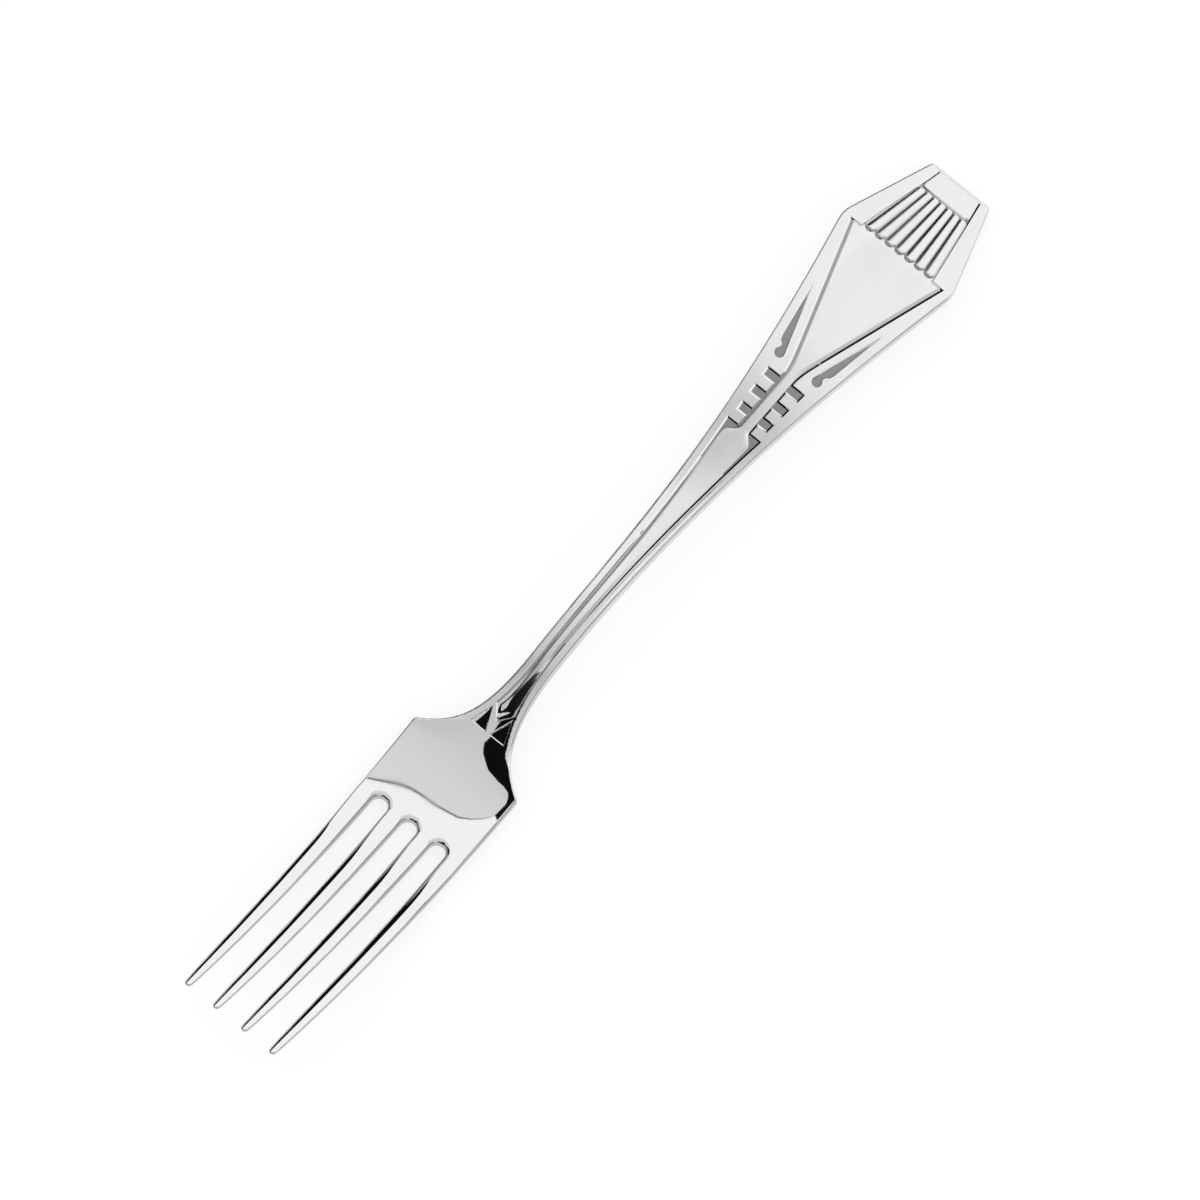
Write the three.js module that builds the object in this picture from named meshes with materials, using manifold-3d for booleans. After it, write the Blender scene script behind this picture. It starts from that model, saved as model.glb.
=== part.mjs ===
// A dessert fork with a struck handle, in millimetres.
// X runs from the tine tips to the end of the handle, Y across the fork, Z up from the table.
// Stations are distances along X from the tine tips, and the origin lies on the table under the middle.
import * as THREE from "three";
import { mergeVertices } from "three/addons/utils/BufferGeometryUtils.js";
import Module from "manifold-3d";

// Lengths along the fork, in order from the tine tips to the end of the handle
const TINE_LENGTH = 44.8;
const PALM_LENGTH = 12.9;
const FLARE_LENGTH = 19.3;
const STEM_LENGTH = 49.2;
const TOOTH_LENGTH = 1.6;
const SQUARE_LENGTH = 1.87;
const SHIELD_TAIL_LENGTH = 1.9;
const SHIELD_LENGTH = 25.5;
const REED_LENGTH = 11.6;
const TABLET_LENGTH = 4.4;

// Counts
const TINE_COUNT = 4;
const TOOTH_COUNT = 3;
const REED_COUNT = 7;

// Widths across the fork
const TINE_ROOT_WIDTH = 3.0;
const TINE_TIP_WIDTH = 1.0;
const SLOT_WIDTH = 2.9;
const TIP_PITCH = 5.7;
const SHOULDER_WIDTH = 21.1;
const WAIST_WIDTH = 4.6;
const KNEE_WIDTH = 22.3;
const END_WIDTH = 11.7;
const RIM_WIDTH = 1.4;
const SHIELD_RIM_WIDTH = 1.55;
const TAIL_WIDTH = 2.4;
const FIRST_SQUARE_WIDTH = 2.0;
const LAST_SQUARE_WIDTH = 2.56;
const FAN_RIM_WIDTH = 3.85;
const END_RIM_WIDTH = 1.55;

// Thicknesses
const TIP_THICKNESS = 1.0;
const ROOT_THICKNESS = 2.1;
const WAIST_THICKNESS = 3.2;
const END_THICKNESS = 2.0;
const RELIEF_DEPTH = 0.55;

// Heights of the underside over the table
const TIP_HEIGHT = 12.8;
const SHOULDER_HEIGHT = 0.45;
const WAIST_HEIGHT = 5.0;
const CROWN_HEIGHT = 6.1;
const TEETH_HEIGHT = 4.6;
const KNEE_HEIGHT = 3.5;
const END_DROP = 0.3;

// Bends: the heel's distance behind the slot roots, how late the tines sweep up, and the palm's hollow
const HEEL_OFFSET = 3.2;
const TINE_SWEEP = 1.7;
const DISH_DEPTH = 0.9;

// Flats that the fork lies on, under the palm and under the end of the handle
const HEEL_FLAT_LENGTH = 6;
const HEEL_FLAT_WIDTH = 7;
const END_FLAT_LENGTH = 1.4;

// The crossed bars struck in the neck
const ORNAMENT_OFFSET = 5.2;
const ORNAMENT_LENGTH = 4.5;
const ORNAMENT_MARGIN = 1.2;
const CROSS_OFFSET = 2.1;
const POCKET_BASE_WIDTH = 3.0;
const POCKET_GAP_WIDTH = 0.7;

// The drops struck beside the shield
const DROP_LENGTH = 12.1;
const DROP_OFFSET = 2.8;
const DROP_DOT_RADIUS = 0.85;
const DROP_DOT_INSET = 2.6;
const DROP_TIP_INSET = 1.65;
const DROP_BLADE_WIDTH = 1.5;

// Clearances
const GROOVE_WIDTH = 0.3;
const REED_GAP = 0.12;
const SEAT_GAP = 0.05;
const CUT_MARGIN = 1;

// Where the tines are let into the palm, and how finely the bends are stepped
const ROOT_LAND_LENGTH = 2.4;
const STATION_STEP = 3.2;
const PALM_STRIP_WIDTH = 2.6;

const SILVER = { color: 0xdedfe0, roughness: 0.12, metalness: 1 };

const wasm = await Module();
wasm.setup();

// Stations of the features, added up from the lengths
const rootAt = TINE_LENGTH;
const heelAt = rootAt + HEEL_OFFSET;
const heelStartAt = heelAt - HEEL_FLAT_LENGTH / 2;
const heelEndAt = heelAt + HEEL_FLAT_LENGTH / 2;
const shoulderAt = rootAt + PALM_LENGTH;
const waistAt = shoulderAt + FLARE_LENGTH;
const teethAt = waistAt + STEM_LENGTH;
const toothPitch = TOOTH_LENGTH + SQUARE_LENGTH;
const apexAt = teethAt + TOOTH_COUNT * toothPitch + SHIELD_TAIL_LENGTH;
const kneeAt = apexAt + SHIELD_LENGTH;
const tabletAt = kneeAt + REED_LENGTH;
const endAt = tabletAt + TABLET_LENGTH;
const endFlatAt = endAt - END_FLAT_LENGTH;
const crownAt = (waistAt + teethAt) / 2;
const tineJointAt = rootAt - ROOT_LAND_LENGTH;
const ornamentAt = shoulderAt + ORNAMENT_OFFSET;
const neckStartAt = ornamentAt - ORNAMENT_MARGIN;
const crossAt = ornamentAt + CROSS_OFFSET;
const ornamentEndAt = ornamentAt + ORNAMENT_LENGTH;
const stemStartAt = ornamentEndAt + ORNAMENT_MARGIN;

const rootPitch = TINE_ROOT_WIDTH + SLOT_WIDTH;
const rootHalf = (TINE_COUNT * TINE_ROOT_WIDTH + (TINE_COUNT - 1) * SLOT_WIDTH) / 2;
const corridorHalf = TAIL_WIDTH / 2 + GROOVE_WIDTH / 2;
const plateDepth = WAIST_THICKNESS;
const floorLevel = plateDepth - RELIEF_DEPTH;
const seatLevel = floorLevel + SEAT_GAP;

// The stations where bent pieces are stepped: every feature, with even steps between
const tineFeatures = [0, tineJointAt, heelStartAt, heelEndAt];
const handleFeatures = [neckStartAt, stemStartAt, waistAt, teethAt, kneeAt, endFlatAt, endAt];
const features = [...tineFeatures, ...handleFeatures].sort((a, b) => a - b);
const grid = [features[0]];
for (let i = 1; i < features.length; i++) {
  const start = features[i - 1];
  const steps = Math.max(1, Math.ceil((features[i] - start) / STATION_STEP));
  for (let k = 1; k <= steps; k++) {
    grid.push(start + ((features[i] - start) * k) / steps);
  }
}

// The grid stations from one station to another, with both ends
function stationsBetween(from, to) {
  const closest = 0.05;
  const inside = grid.filter((s) => s > from + closest && s < to - closest);
  return [from, ...inside, to];
}

const mix = THREE.MathUtils.lerp;
const share = THREE.MathUtils.inverseLerp;
const smooth = THREE.MathUtils.smoothstep;

// The height of a plane curve at a station, where the curve only runs forward
function heightOfCurve(curve) {
  const halvings = 40;
  return (station) => {
    let low = 0;
    let high = 1;
    for (let i = 0; i < halvings; i++) {
      const middle = (low + high) / 2;
      if (curve.getPoint(middle).x < station) {
        low = middle;
      } else {
        high = middle;
      }
    }
    return curve.getPoint((low + high) / 2).y;
  };
}

const point = (x, y) => new THREE.Vector2(x, y);

// Half the fork's width: straight head, hollow shoulders, a long swelling handle and a cut-off kite end
const flareCurve = heightOfCurve(
  new THREE.CubicBezierCurve(
    point(shoulderAt, SHOULDER_WIDTH / 2),
    point(mix(shoulderAt, waistAt, 0.16), mix(WAIST_WIDTH, SHOULDER_WIDTH, 0.34) / 2),
    point(mix(shoulderAt, waistAt, 0.38), WAIST_WIDTH / 2),
    point(waistAt, WAIST_WIDTH / 2),
  ),
);
const handleCurve = heightOfCurve(
  new THREE.CubicBezierCurve(
    point(waistAt, WAIST_WIDTH / 2),
    point(mix(waistAt, kneeAt, 0.44), WAIST_WIDTH / 2),
    point(mix(waistAt, kneeAt, 0.67), mix(WAIST_WIDTH, KNEE_WIDTH, 0.33) / 2),
    point(kneeAt, KNEE_WIDTH / 2),
  ),
);
function halfWidth(s) {
  if (s < shoulderAt) {
    return mix(rootHalf, SHOULDER_WIDTH / 2, THREE.MathUtils.clamp(share(rootAt, shoulderAt, s), 0, 1));
  }
  if (s < waistAt) {
    return flareCurve(s);
  }
  if (s < kneeAt) {
    return handleCurve(s);
  }
  return mix(KNEE_WIDTH, END_WIDTH, share(kneeAt, endAt, s)) / 2;
}

// The channel between the rims starts in a point at the crossed bars and follows the outline
function channelHalf(s) {
  const open = halfWidth(Math.max(s, ornamentEndAt)) - RIM_WIDTH;
  return s < ornamentEndAt ? open * share(crossAt, ornamentEndAt, s) : open;
}

// The underside's height: the tines sweep up from the heel, the handle arches, and its kite end bends down
const handleBack = heightOfCurve(
  new THREE.SplineCurve([
    point(heelEndAt, 0),
    point(shoulderAt, SHOULDER_HEIGHT),
    point(waistAt, WAIST_HEIGHT),
    point(crownAt, CROWN_HEIGHT),
    point(teethAt, TEETH_HEIGHT),
    point(kneeAt, KNEE_HEIGHT),
  ]),
);
function backOfCurve(s) {
  if (s < heelStartAt) {
    return TIP_HEIGHT * Math.pow(1 - s / heelStartAt, TINE_SWEEP);
  }
  if (s < heelEndAt) {
    return 0;
  }
  if (s < kneeAt) {
    return Math.max(handleBack(s), 0);
  }
  return mix(KNEE_HEIGHT, -END_DROP, share(kneeAt, endAt, s));
}
function thickness(s) {
  if (s < rootAt) {
    return mix(TIP_THICKNESS, ROOT_THICKNESS, s / rootAt);
  }
  if (s < waistAt) {
    return mix(ROOT_THICKNESS, WAIST_THICKNESS, smooth(s, heelAt, waistAt));
  }
  return mix(WAIST_THICKNESS, END_THICKNESS, share(waistAt, endAt, s));
}

// The palm's hollow: its sides stand higher than its middle, less towards the tips and the neck
function dish(s, y) {
  const along = smooth(s, 0, heelAt) * (1 - smooth(s, heelAt, neckStartAt));
  const flat = HEEL_FLAT_WIDTH / 2;
  const outwards = Math.max(share(flat, halfWidth(shoulderAt), Math.abs(y)), 0);
  return DISH_DEPTH * along * outwards ** 2;
}

// Every bent piece follows the same straight steps between grid stations, so seats match exactly
const backHeights = grid.map(backOfCurve);
function steppedBack(s) {
  const i = Math.min(Math.max(grid.findIndex((g) => g >= s), 1), grid.length - 1);
  return mix(backHeights[i - 1], backHeights[i], share(grid[i - 1], grid[i], s));
}
const thicknesses = grid.map(thickness);
function steppedThickness(s) {
  const i = Math.min(Math.max(grid.findIndex((g) => g >= s), 1), grid.length - 1);
  return mix(thicknesses[i - 1], thicknesses[i], share(grid[i - 1], grid[i], s));
}

// Only the positions of a geometry, with shared corners merged
function bare(geometry) {
  geometry.deleteAttribute("normal");
  geometry.deleteAttribute("uv");
  return mergeVertices(geometry, 1e-4);
}

// Moves every corner of a geometry by a function of its place
function reshape(geometry, place) {
  const position = geometry.getAttribute("position");
  for (let i = 0; i < position.count; i++) {
    position.setXYZ(i, ...place(position.getX(i), position.getY(i), position.getZ(i)));
  }
  return geometry;
}

// Splits the triangles of a closed geometry where one of their coordinates passes the given values
function sliceAt(geometry, axis, cuts) {
  const near = 0.01;
  const corners = [];
  const position = geometry.getAttribute("position");
  for (let i = 0; i < position.count; i++) {
    corners.push([position.getX(i), position.getY(i), position.getZ(i)]);
  }
  let faces = [];
  for (let i = 0; i < geometry.index.count; i += 3) {
    faces.push([0, 1, 2].map((k) => geometry.index.getX(i + k)));
  }
  for (const cut of cuts) {
    const made = new Map();
    const side = (i) => {
      const offset = corners[i][axis] - cut;
      return Math.abs(offset) < near ? 0 : Math.sign(offset);
    };
    const crossing = (i, j) => {
      const [first, last] = i < j ? [i, j] : [j, i];
      const key = first + "-" + last;
      if (!made.has(key)) {
        const a = corners[first];
        const b = corners[last];
        const t = share(a[axis], b[axis], cut);
        made.set(key, corners.length);
        corners.push(a.map((value, k) => (k === axis ? cut : mix(value, b[k], t))));
      }
      return made.get(key);
    };
    const split = [];
    for (const face of faces) {
      const below = [];
      const above = [];
      face.forEach((i, k) => {
        const j = face[(k + 1) % 3];
        if (side(i) <= 0) {
          below.push(i);
        }
        if (side(i) >= 0) {
          above.push(i);
        }
        if (side(i) * side(j) < 0) {
          below.push(crossing(i, j));
          above.push(crossing(i, j));
        }
      });
      const inPlane = face.every((i) => side(i) === 0);
      const rings = inPlane ? [below] : [below, above];
      for (const ring of rings) {
        for (let k = 1; k < ring.length - 1; k++) {
          split.push([ring[0], ring[k], ring[k + 1]]);
        }
      }
    }
    faces = split;
  }
  const sliced = new THREE.BufferGeometry();
  sliced.setAttribute("position", new THREE.Float32BufferAttribute(corners.flat(), 3));
  sliced.setIndex(faces.flat());
  return sliced;
}

// A flat piece of a plan outline, from one level to another, where the back of the fork is level 0
function flatPlate(shape, low, high) {
  const depth = high - low;
  const geometry = new THREE.ExtrudeGeometry(shape, { depth, bevelEnabled: false, curveSegments: 8 });
  geometry.translate(0, 0, low);
  return bare(geometry);
}

// Lays a flat piece on the fork's bends: level 0 goes to the underside, other levels hang from the top
function bend(geometry) {
  const stepped = sliceAt(geometry, 0, grid);
  const backLevel = 0.01;
  reshape(stepped, (s, y, level) => {
    const back = steppedBack(s) + dish(s, y);
    const underside = s < endFlatAt - backLevel ? back : 0;
    const height = level < backLevel ? underside : back + steppedThickness(s) + level - plateDepth;
    return [s, y, height];
  });
  const needless = 0.004;
  return geometryOf(solidOf(stepped).simplify(needless));
}

// A bar whose section changes along the fork: the section is drawn once and placed at each station
function bar(section, stations, place) {
  const geometry = bare(
    new THREE.ExtrudeGeometry(section, {
      depth: 1,
      steps: stations.length - 1,
      bevelEnabled: false,
      curveSegments: 5,
    }),
  );
  return reshape(geometry, (across, up, along) => {
    const s = stations[Math.round(along * (stations.length - 1))];
    return place(s, across, up);
  });
}

// Joins and cuts
function solidOf(geometry) {
  return new wasm.Manifold(
    new wasm.Mesh({
      numProp: 3,
      vertProperties: geometry.getAttribute("position").array,
      triVerts: new Uint32Array(geometry.index.array),
    }),
  );
}
function geometryOf(solid) {
  const mesh = solid.getMesh();
  const geometry = new THREE.BufferGeometry();
  geometry.setAttribute("position", new THREE.BufferAttribute(mesh.vertProperties, 3));
  geometry.setIndex(new THREE.BufferAttribute(mesh.triVerts, 1));
  return geometry;
}
function cut(geometry, cutters) {
  let solid = solidOf(geometry);
  for (const cutter of cutters) {
    solid = solid.subtract(solidOf(cutter));
  }
  return geometryOf(solid);
}

// The plan outline between two stations of a piece that is alike on both sides
function ribbon(from, to, half) {
  const stations = stationsBetween(from, to);
  const right = stations.map((s) => point(s, half(s)));
  const left = stations.map((s) => point(s, -half(s))).reverse();
  return new THREE.Shape([...right, ...left]);
}

// An outline given on the right side only, closed by its mirror image
function mirrored(right) {
  const left = right.map((p) => point(p.x, -p.y)).reverse();
  return new THREE.Shape([...right, ...left]);
}

// The middle of a tine at a station, where the tines draw together towards the tips
function tineMiddle(index, s) {
  const pitch = mix(TIP_PITCH, rootPitch, s / tineJointAt);
  return (index - (TINE_COUNT - 1) / 2) * pitch;
}

function tineWidth(s) {
  const along = Math.sqrt(s / tineJointAt);
  return mix(TINE_TIP_WIDTH, TINE_ROOT_WIDTH, along);
}

// One tine: a bar with rounded edges that narrows and thins to a blunt tip
function tine(index) {
  const corner = 0.28;
  const edge = 0.5 - corner;
  const section = new THREE.Shape();
  section.absarc(edge, 0.5 + edge, corner, 0, Math.PI / 2);
  section.absarc(-edge, 0.5 + edge, corner, Math.PI / 2, Math.PI);
  section.absarc(-edge, 0.5 - edge, corner, Math.PI, 1.5 * Math.PI);
  section.absarc(edge, 0.5 - edge, corner, 1.5 * Math.PI, 2 * Math.PI);
  const bluntLength = TINE_TIP_WIDTH / 2;
  const bluntShare = 0.5;
  const stations = [0, bluntLength, ...stationsBetween(0, tineJointAt).slice(1)];
  return bar(section, stations, (s, across, up) => {
    const blunt = mix(bluntShare, 1, smooth(s, 0, bluntLength));
    const y = tineMiddle(index, s) + across * tineWidth(s) * blunt;
    const level = 0.5 + (up - 0.5) * blunt;
    return [s, y, steppedBack(s) + dish(s, y) + level * steppedThickness(s)];
  });
}

// The palm: a dished plate with the round-ended slots between the tine roots
function palm() {
  const outline = new THREE.Shape();
  outline.moveTo(tineJointAt, -rootHalf);
  const sides = stationsBetween(rootAt, shoulderAt);
  const shoulders = stationsBetween(shoulderAt, neckStartAt).slice(1);
  for (const s of [...sides, ...shoulders]) {
    outline.lineTo(s, -halfWidth(s));
  }
  for (const s of [...sides, ...shoulders].reverse()) {
    outline.lineTo(s, halfWidth(s));
  }
  outline.lineTo(tineJointAt, rootHalf);
  const radius = SLOT_WIDTH / 2;
  for (let i = TINE_COUNT - 1; i > 0; i--) {
    const middle = (tineMiddle(i, tineJointAt) + tineMiddle(i - 1, tineJointAt)) / 2;
    outline.lineTo(tineJointAt, middle + radius);
    outline.absarc(rootAt - radius, middle, radius, Math.PI / 2, -Math.PI / 2, true);
    outline.lineTo(tineJointAt, middle - radius);
  }
  const flat = HEEL_FLAT_WIDTH / 2;
  const half = Math.max(rootHalf, SHOULDER_WIDTH / 2);
  const stripCount = Math.max(1, Math.round((half - flat) / PALM_STRIP_WIDTH));
  const strips = [];
  for (let i = 0; i < stripCount; i++) {
    const y = mix(flat, half, i / stripCount);
    strips.push(y, -y);
  }
  return bend(sliceAt(flatPlate(outline, 0, plateDepth), 1, strips));
}

// The neck: hollow shoulders with two crossed bars left standing between struck pockets
function neck() {
  const plate = flatPlate(ribbon(neckStartAt, stemStartAt, halfWidth), 0, plateDepth);
  const cutTop = plateDepth + CUT_MARGIN;
  const cutters = [1, -1].map((side) => {
    const pocket = new THREE.Shape([
      point(ornamentAt, (side * POCKET_GAP_WIDTH) / 2),
      point(ornamentEndAt - POCKET_GAP_WIDTH, side * channelHalf(ornamentEndAt)),
      point(ornamentAt, side * (POCKET_GAP_WIDTH / 2 + POCKET_BASE_WIDTH)),
    ]);
    return flatPlate(pocket, floorLevel, cutTop);
  });
  const channelStations = stationsBetween(ornamentEndAt, stemStartAt + CUT_MARGIN);
  const channelEnd = mirrored([
    point(crossAt, 0),
    ...channelStations.map((s) => point(s, channelHalf(s))),
  ]);
  cutters.push(flatPlate(channelEnd, floorLevel, cutTop));
  return bend(cut(plate, cutters));
}

// The stem: a tapering bar with a channel between two rims
function stem() {
  const plate = flatPlate(ribbon(stemStartAt, teethAt, halfWidth), 0, plateDepth);
  const channel = ribbon(stemStartAt - CUT_MARGIN, teethAt + CUT_MARGIN, channelHalf);
  return bend(cut(plate, [flatPlate(channel, floorLevel, plateDepth + CUT_MARGIN)]));
}

// The rounded rib that fills the channel from the crossed bars to the first teeth
function stemRib() {
  const section = new THREE.Shape();
  section.absellipse(0, 0, 1, 1, 0, Math.PI);
  const start = mix(crossAt, ornamentEndAt, 0.5);
  const stations = stationsBetween(start, teethAt - GROOVE_WIDTH);
  return bar(section, stations, (s, across, up) => {
    const half = Math.max(channelHalf(s) - GROOVE_WIDTH, GROOVE_WIDTH);
    const level = seatLevel + up * (plateDepth - seatLevel);
    return [s, across * half, steppedBack(s) + steppedThickness(s) + level - plateDepth];
  });
}

// The width of the struck squares, which grows towards the shield
function squareWidth(index) {
  return mix(FIRST_SQUARE_WIDTH, LAST_SQUARE_WIDTH, index / Math.max(TOOTH_COUNT - 1, 1));
}

const shieldHalf = KNEE_WIDTH / 2 - SHIELD_RIM_WIDTH;
function fanHalf(s) {
  return mix(KNEE_WIDTH / 2 - FAN_RIM_WIDTH, END_WIDTH / 2 - END_RIM_WIDTH, share(kneeAt, endAt, s));
}

// The drop struck in the rim: a dot, a bite and a long blade, on one side of the shield
function drop(side) {
  const dotAt = apexAt - SHIELD_TAIL_LENGTH + DROP_OFFSET;
  const tipAt = dotAt + DROP_LENGTH;
  const dot = point(dotAt, halfWidth(dotAt) - DROP_DOT_INSET);
  const tip = point(tipAt, halfWidth(tipAt) - DROP_TIP_INSET);
  const bladeAt = dotAt + 2.6 * DROP_DOT_RADIUS;
  const inner = point(dotAt + 0.5 * DROP_DOT_RADIUS, dot.y - 0.85 * DROP_DOT_RADIUS);
  const innerAtBlade = mix(inner.y, tip.y, share(inner.x, tip.x, bladeAt));
  const outer = point(bladeAt, innerAtBlade + DROP_BLADE_WIDTH);
  const bite = point(dotAt + DROP_DOT_RADIUS, dot.y);
  const round = new THREE.EllipseCurve(dot.x, dot.y, DROP_DOT_RADIUS, DROP_DOT_RADIUS, -1, -5.6, true);
  const notch = new THREE.QuadraticBezierCurve(round.getPoint(1), bite, outer);
  const outline = [tip, inner, ...round.getPoints(10), ...notch.getPoints(4).slice(1)];
  return new THREE.Shape(outline.map((p) => point(p.x, side * p.y)));
}

// The terminal: the kite-shaped end of the handle, with teeth, shield field, reed field and drops struck in
function terminal() {
  const plate = flatPlate(ribbon(teethAt, endAt, halfWidth), 0, plateDepth);
  const right = [point(teethAt - CUT_MARGIN, corridorHalf)];
  for (let i = 0; i < TOOTH_COUNT; i++) {
    const squareAt = teethAt + i * toothPitch + TOOTH_LENGTH;
    const squareEnd = squareAt + SQUARE_LENGTH;
    const reach = corridorHalf + squareWidth(i);
    right.push(point(squareAt, corridorHalf), point(squareAt, reach));
    right.push(point(squareEnd, reach), point(squareEnd, corridorHalf));
  }
  right.push(point(apexAt, corridorHalf), point(kneeAt, shieldHalf), point(kneeAt, fanHalf(kneeAt)));
  right.push(point(endAt + CUT_MARGIN, fanHalf(endAt + CUT_MARGIN)));
  const field = mirrored(right);
  const cutTop = plateDepth + CUT_MARGIN;
  const cutters = [field, drop(1), drop(-1)].map((shape) => flatPlate(shape, floorLevel, cutTop));
  return bend(cut(plate, cutters));
}

// The shield: a smooth triangle with a narrow tail that runs on from the rib between the teeth
function shield() {
  const tail = TAIL_WIDTH / 2;
  const baseAt = kneeAt - GROOVE_WIDTH;
  const right = [
    point(teethAt + GROOVE_WIDTH, tail),
    point(apexAt, tail),
    point(baseAt, shieldHalf - GROOVE_WIDTH),
  ];
  return bend(flatPlate(mirrored(right), seatLevel, plateDepth));
}

// One reed: a half-round bar with a round foot on the shield's side
function reed(index) {
  const section = new THREE.Shape();
  section.absellipse(0, 0, 1, 1, 0, Math.PI);
  const pitch = (s) => (2 * (fanHalf(s) - GROOVE_WIDTH)) / REED_COUNT;
  const foot = pitch(kneeAt) / 2;
  const start = kneeAt + GROOVE_WIDTH;
  const end = tabletAt - GROOVE_WIDTH;
  const footSteps = [0.04, 0.15, 0.4].map((t) => start + t * foot);
  const stations = [...footSteps, ...stationsBetween(start + foot, end)];
  return bar(section, stations, (s, across, up) => {
    const rounding = Math.sqrt(1 - Math.max(0, 1 - (s - start) / foot) ** 2);
    const half = (pitch(s) - REED_GAP) / 2;
    const y = (index - (REED_COUNT - 1) / 2) * pitch(s) + across * half * rounding;
    const level = seatLevel + up * rounding * (plateDepth - seatLevel);
    return [s, y, steppedBack(s) + steppedThickness(s) + level - plateDepth];
  });
}

// The plain tablet between the reeds and the end of the handle
function endTablet() {
  const shape = ribbon(tabletAt, endAt, (s) => fanHalf(s) - GROOVE_WIDTH);
  return bend(flatPlate(shape, seatLevel, plateDepth));
}

const fork = new THREE.Group();
fork.position.x = -endAt / 2;

function addPiece(name, geometry) {
  const mesh = new THREE.Mesh(geometry, new THREE.MeshStandardMaterial(SILVER));
  mesh.name = name;
  fork.add(mesh);
}

for (let i = 0; i < TINE_COUNT; i++) {
  addPiece("tine_" + (i + 1), tine(i));
}
addPiece("palm", palm());
addPiece("neck", neck());
addPiece("stem", stem());
addPiece("stem_rib", stemRib());
addPiece("terminal", terminal());
addPiece("shield", shield());
for (let i = 0; i < REED_COUNT; i++) {
  addPiece("reed_" + (i + 1), reed(i));
}
addPiece("end_tablet", endTablet());

const assembly = new THREE.Group();
assembly.add(fork);
export default assembly;
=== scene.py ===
"""Dessert fork of polished silver with a struck, kite-shaped handle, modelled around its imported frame.

Every section is cut from one flat blank: the outline is filled, given its thickness, rounded along both
edges, sunk where the ornament lies and then bent to the fork's side profile. The rib, shield, reeds and
tablet are laid into the sunk field afterwards. Lengths are in metres.
"""

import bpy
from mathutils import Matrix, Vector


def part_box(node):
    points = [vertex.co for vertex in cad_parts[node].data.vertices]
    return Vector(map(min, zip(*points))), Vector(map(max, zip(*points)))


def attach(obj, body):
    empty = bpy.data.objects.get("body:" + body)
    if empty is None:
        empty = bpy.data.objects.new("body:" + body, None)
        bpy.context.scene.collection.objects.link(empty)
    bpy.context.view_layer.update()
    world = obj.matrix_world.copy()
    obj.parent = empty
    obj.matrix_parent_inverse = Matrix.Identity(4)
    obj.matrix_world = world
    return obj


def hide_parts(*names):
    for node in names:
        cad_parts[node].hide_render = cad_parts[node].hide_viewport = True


bl_info = {
    "name": "Dessert Fork",
    "version": (1, 0, 0),
    "blender": (4, 5, 0),
    "location": "3D View > Sidebar > Fork",
    "description": "Models a polished silver dessert fork with a struck handle, and the stage it lies on",
    "category": "Object",
}

import math
from bisect import bisect_right

import bmesh
import bpy
from bpy.props import FloatProperty, FloatVectorProperty, PointerProperty
from mathutils import Vector
from mathutils.geometry import interpolate_bezier

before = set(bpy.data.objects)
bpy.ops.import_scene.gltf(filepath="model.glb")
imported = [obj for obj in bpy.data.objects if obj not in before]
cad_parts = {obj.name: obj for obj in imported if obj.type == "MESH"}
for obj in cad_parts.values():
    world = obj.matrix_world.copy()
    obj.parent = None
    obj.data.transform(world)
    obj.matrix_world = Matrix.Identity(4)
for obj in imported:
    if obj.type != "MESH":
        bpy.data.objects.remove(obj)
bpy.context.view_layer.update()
MM = 0.001

# Stations along the fork, from the tips of the tines at -X to the end of the handle at +X
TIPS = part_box("tine_1")[0].x
TINE_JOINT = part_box("tine_1")[1].x
NECK_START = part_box("neck")[0].x
STEM_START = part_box("stem")[0].x
TEETH_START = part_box("terminal")[0].x
TABLET_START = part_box("end_tablet")[0].x
HANDLE_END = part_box("terminal")[1].x
ROOT = TINE_JOINT + 2.4 * MM
HEEL = ROOT + 3.2 * MM
SHOULDER = ROOT + 12.9 * MM
WAIST = SHOULDER + 19.3 * MM
CROWN = (WAIST + TEETH_START) / 2
ORNAMENT = NECK_START + 1.2 * MM
CROSS = ORNAMENT + 2.1 * MM
ORNAMENT_END = STEM_START - 1.2 * MM
TOOTH_COUNT = 3
TOOTH_LENGTH = 1.6 * MM
SQUARE_LENGTH = 1.87 * MM
TOOTH_PITCH = TOOTH_LENGTH + SQUARE_LENGTH
APEX = TEETH_START + TOOTH_COUNT * TOOTH_PITCH + 1.9 * MM
KNEE = APEX + 25.5 * MM

# Widths across the fork
TINE_COUNT = 4
OUTER_TINE, INNER_TINE = 3, 2
TINE_ROOT_WIDTH = 3.0 * MM
TINE_TIP_WIDTH = 1.0 * MM
SLOT_WIDTH = 2.9 * MM
TIP_PITCH = 5.7 * MM
ROOT_PITCH = TINE_ROOT_WIDTH + SLOT_WIDTH
ROOT_HALF = (TINE_COUNT * TINE_ROOT_WIDTH + (TINE_COUNT - 1) * SLOT_WIDTH) / 2
SHOULDER_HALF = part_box("palm")[1].y
WAIST_HALF = 2.3 * MM
KNEE_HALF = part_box("terminal")[1].y
END_HALF = 5.85 * MM
RIM_WIDTH = 1.25 * MM
TAIL_HALF = 1.2 * MM
CORRIDOR_HALF = 1.35 * MM
FIRST_SQUARE_WIDTH = 2.0 * MM
LAST_SQUARE_WIDTH = 2.56 * MM
SHIELD_HALF = KNEE_HALF - 1.55 * MM
FAN_HALF = KNEE_HALF - 3.85 * MM
FAN_END_HALF = END_HALF - 1.55 * MM
BAR_HALF = 0.35 * MM
POCKET_HALF = 3.35 * MM
POCKET_TIP = ORNAMENT_END - 0.7 * MM

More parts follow.
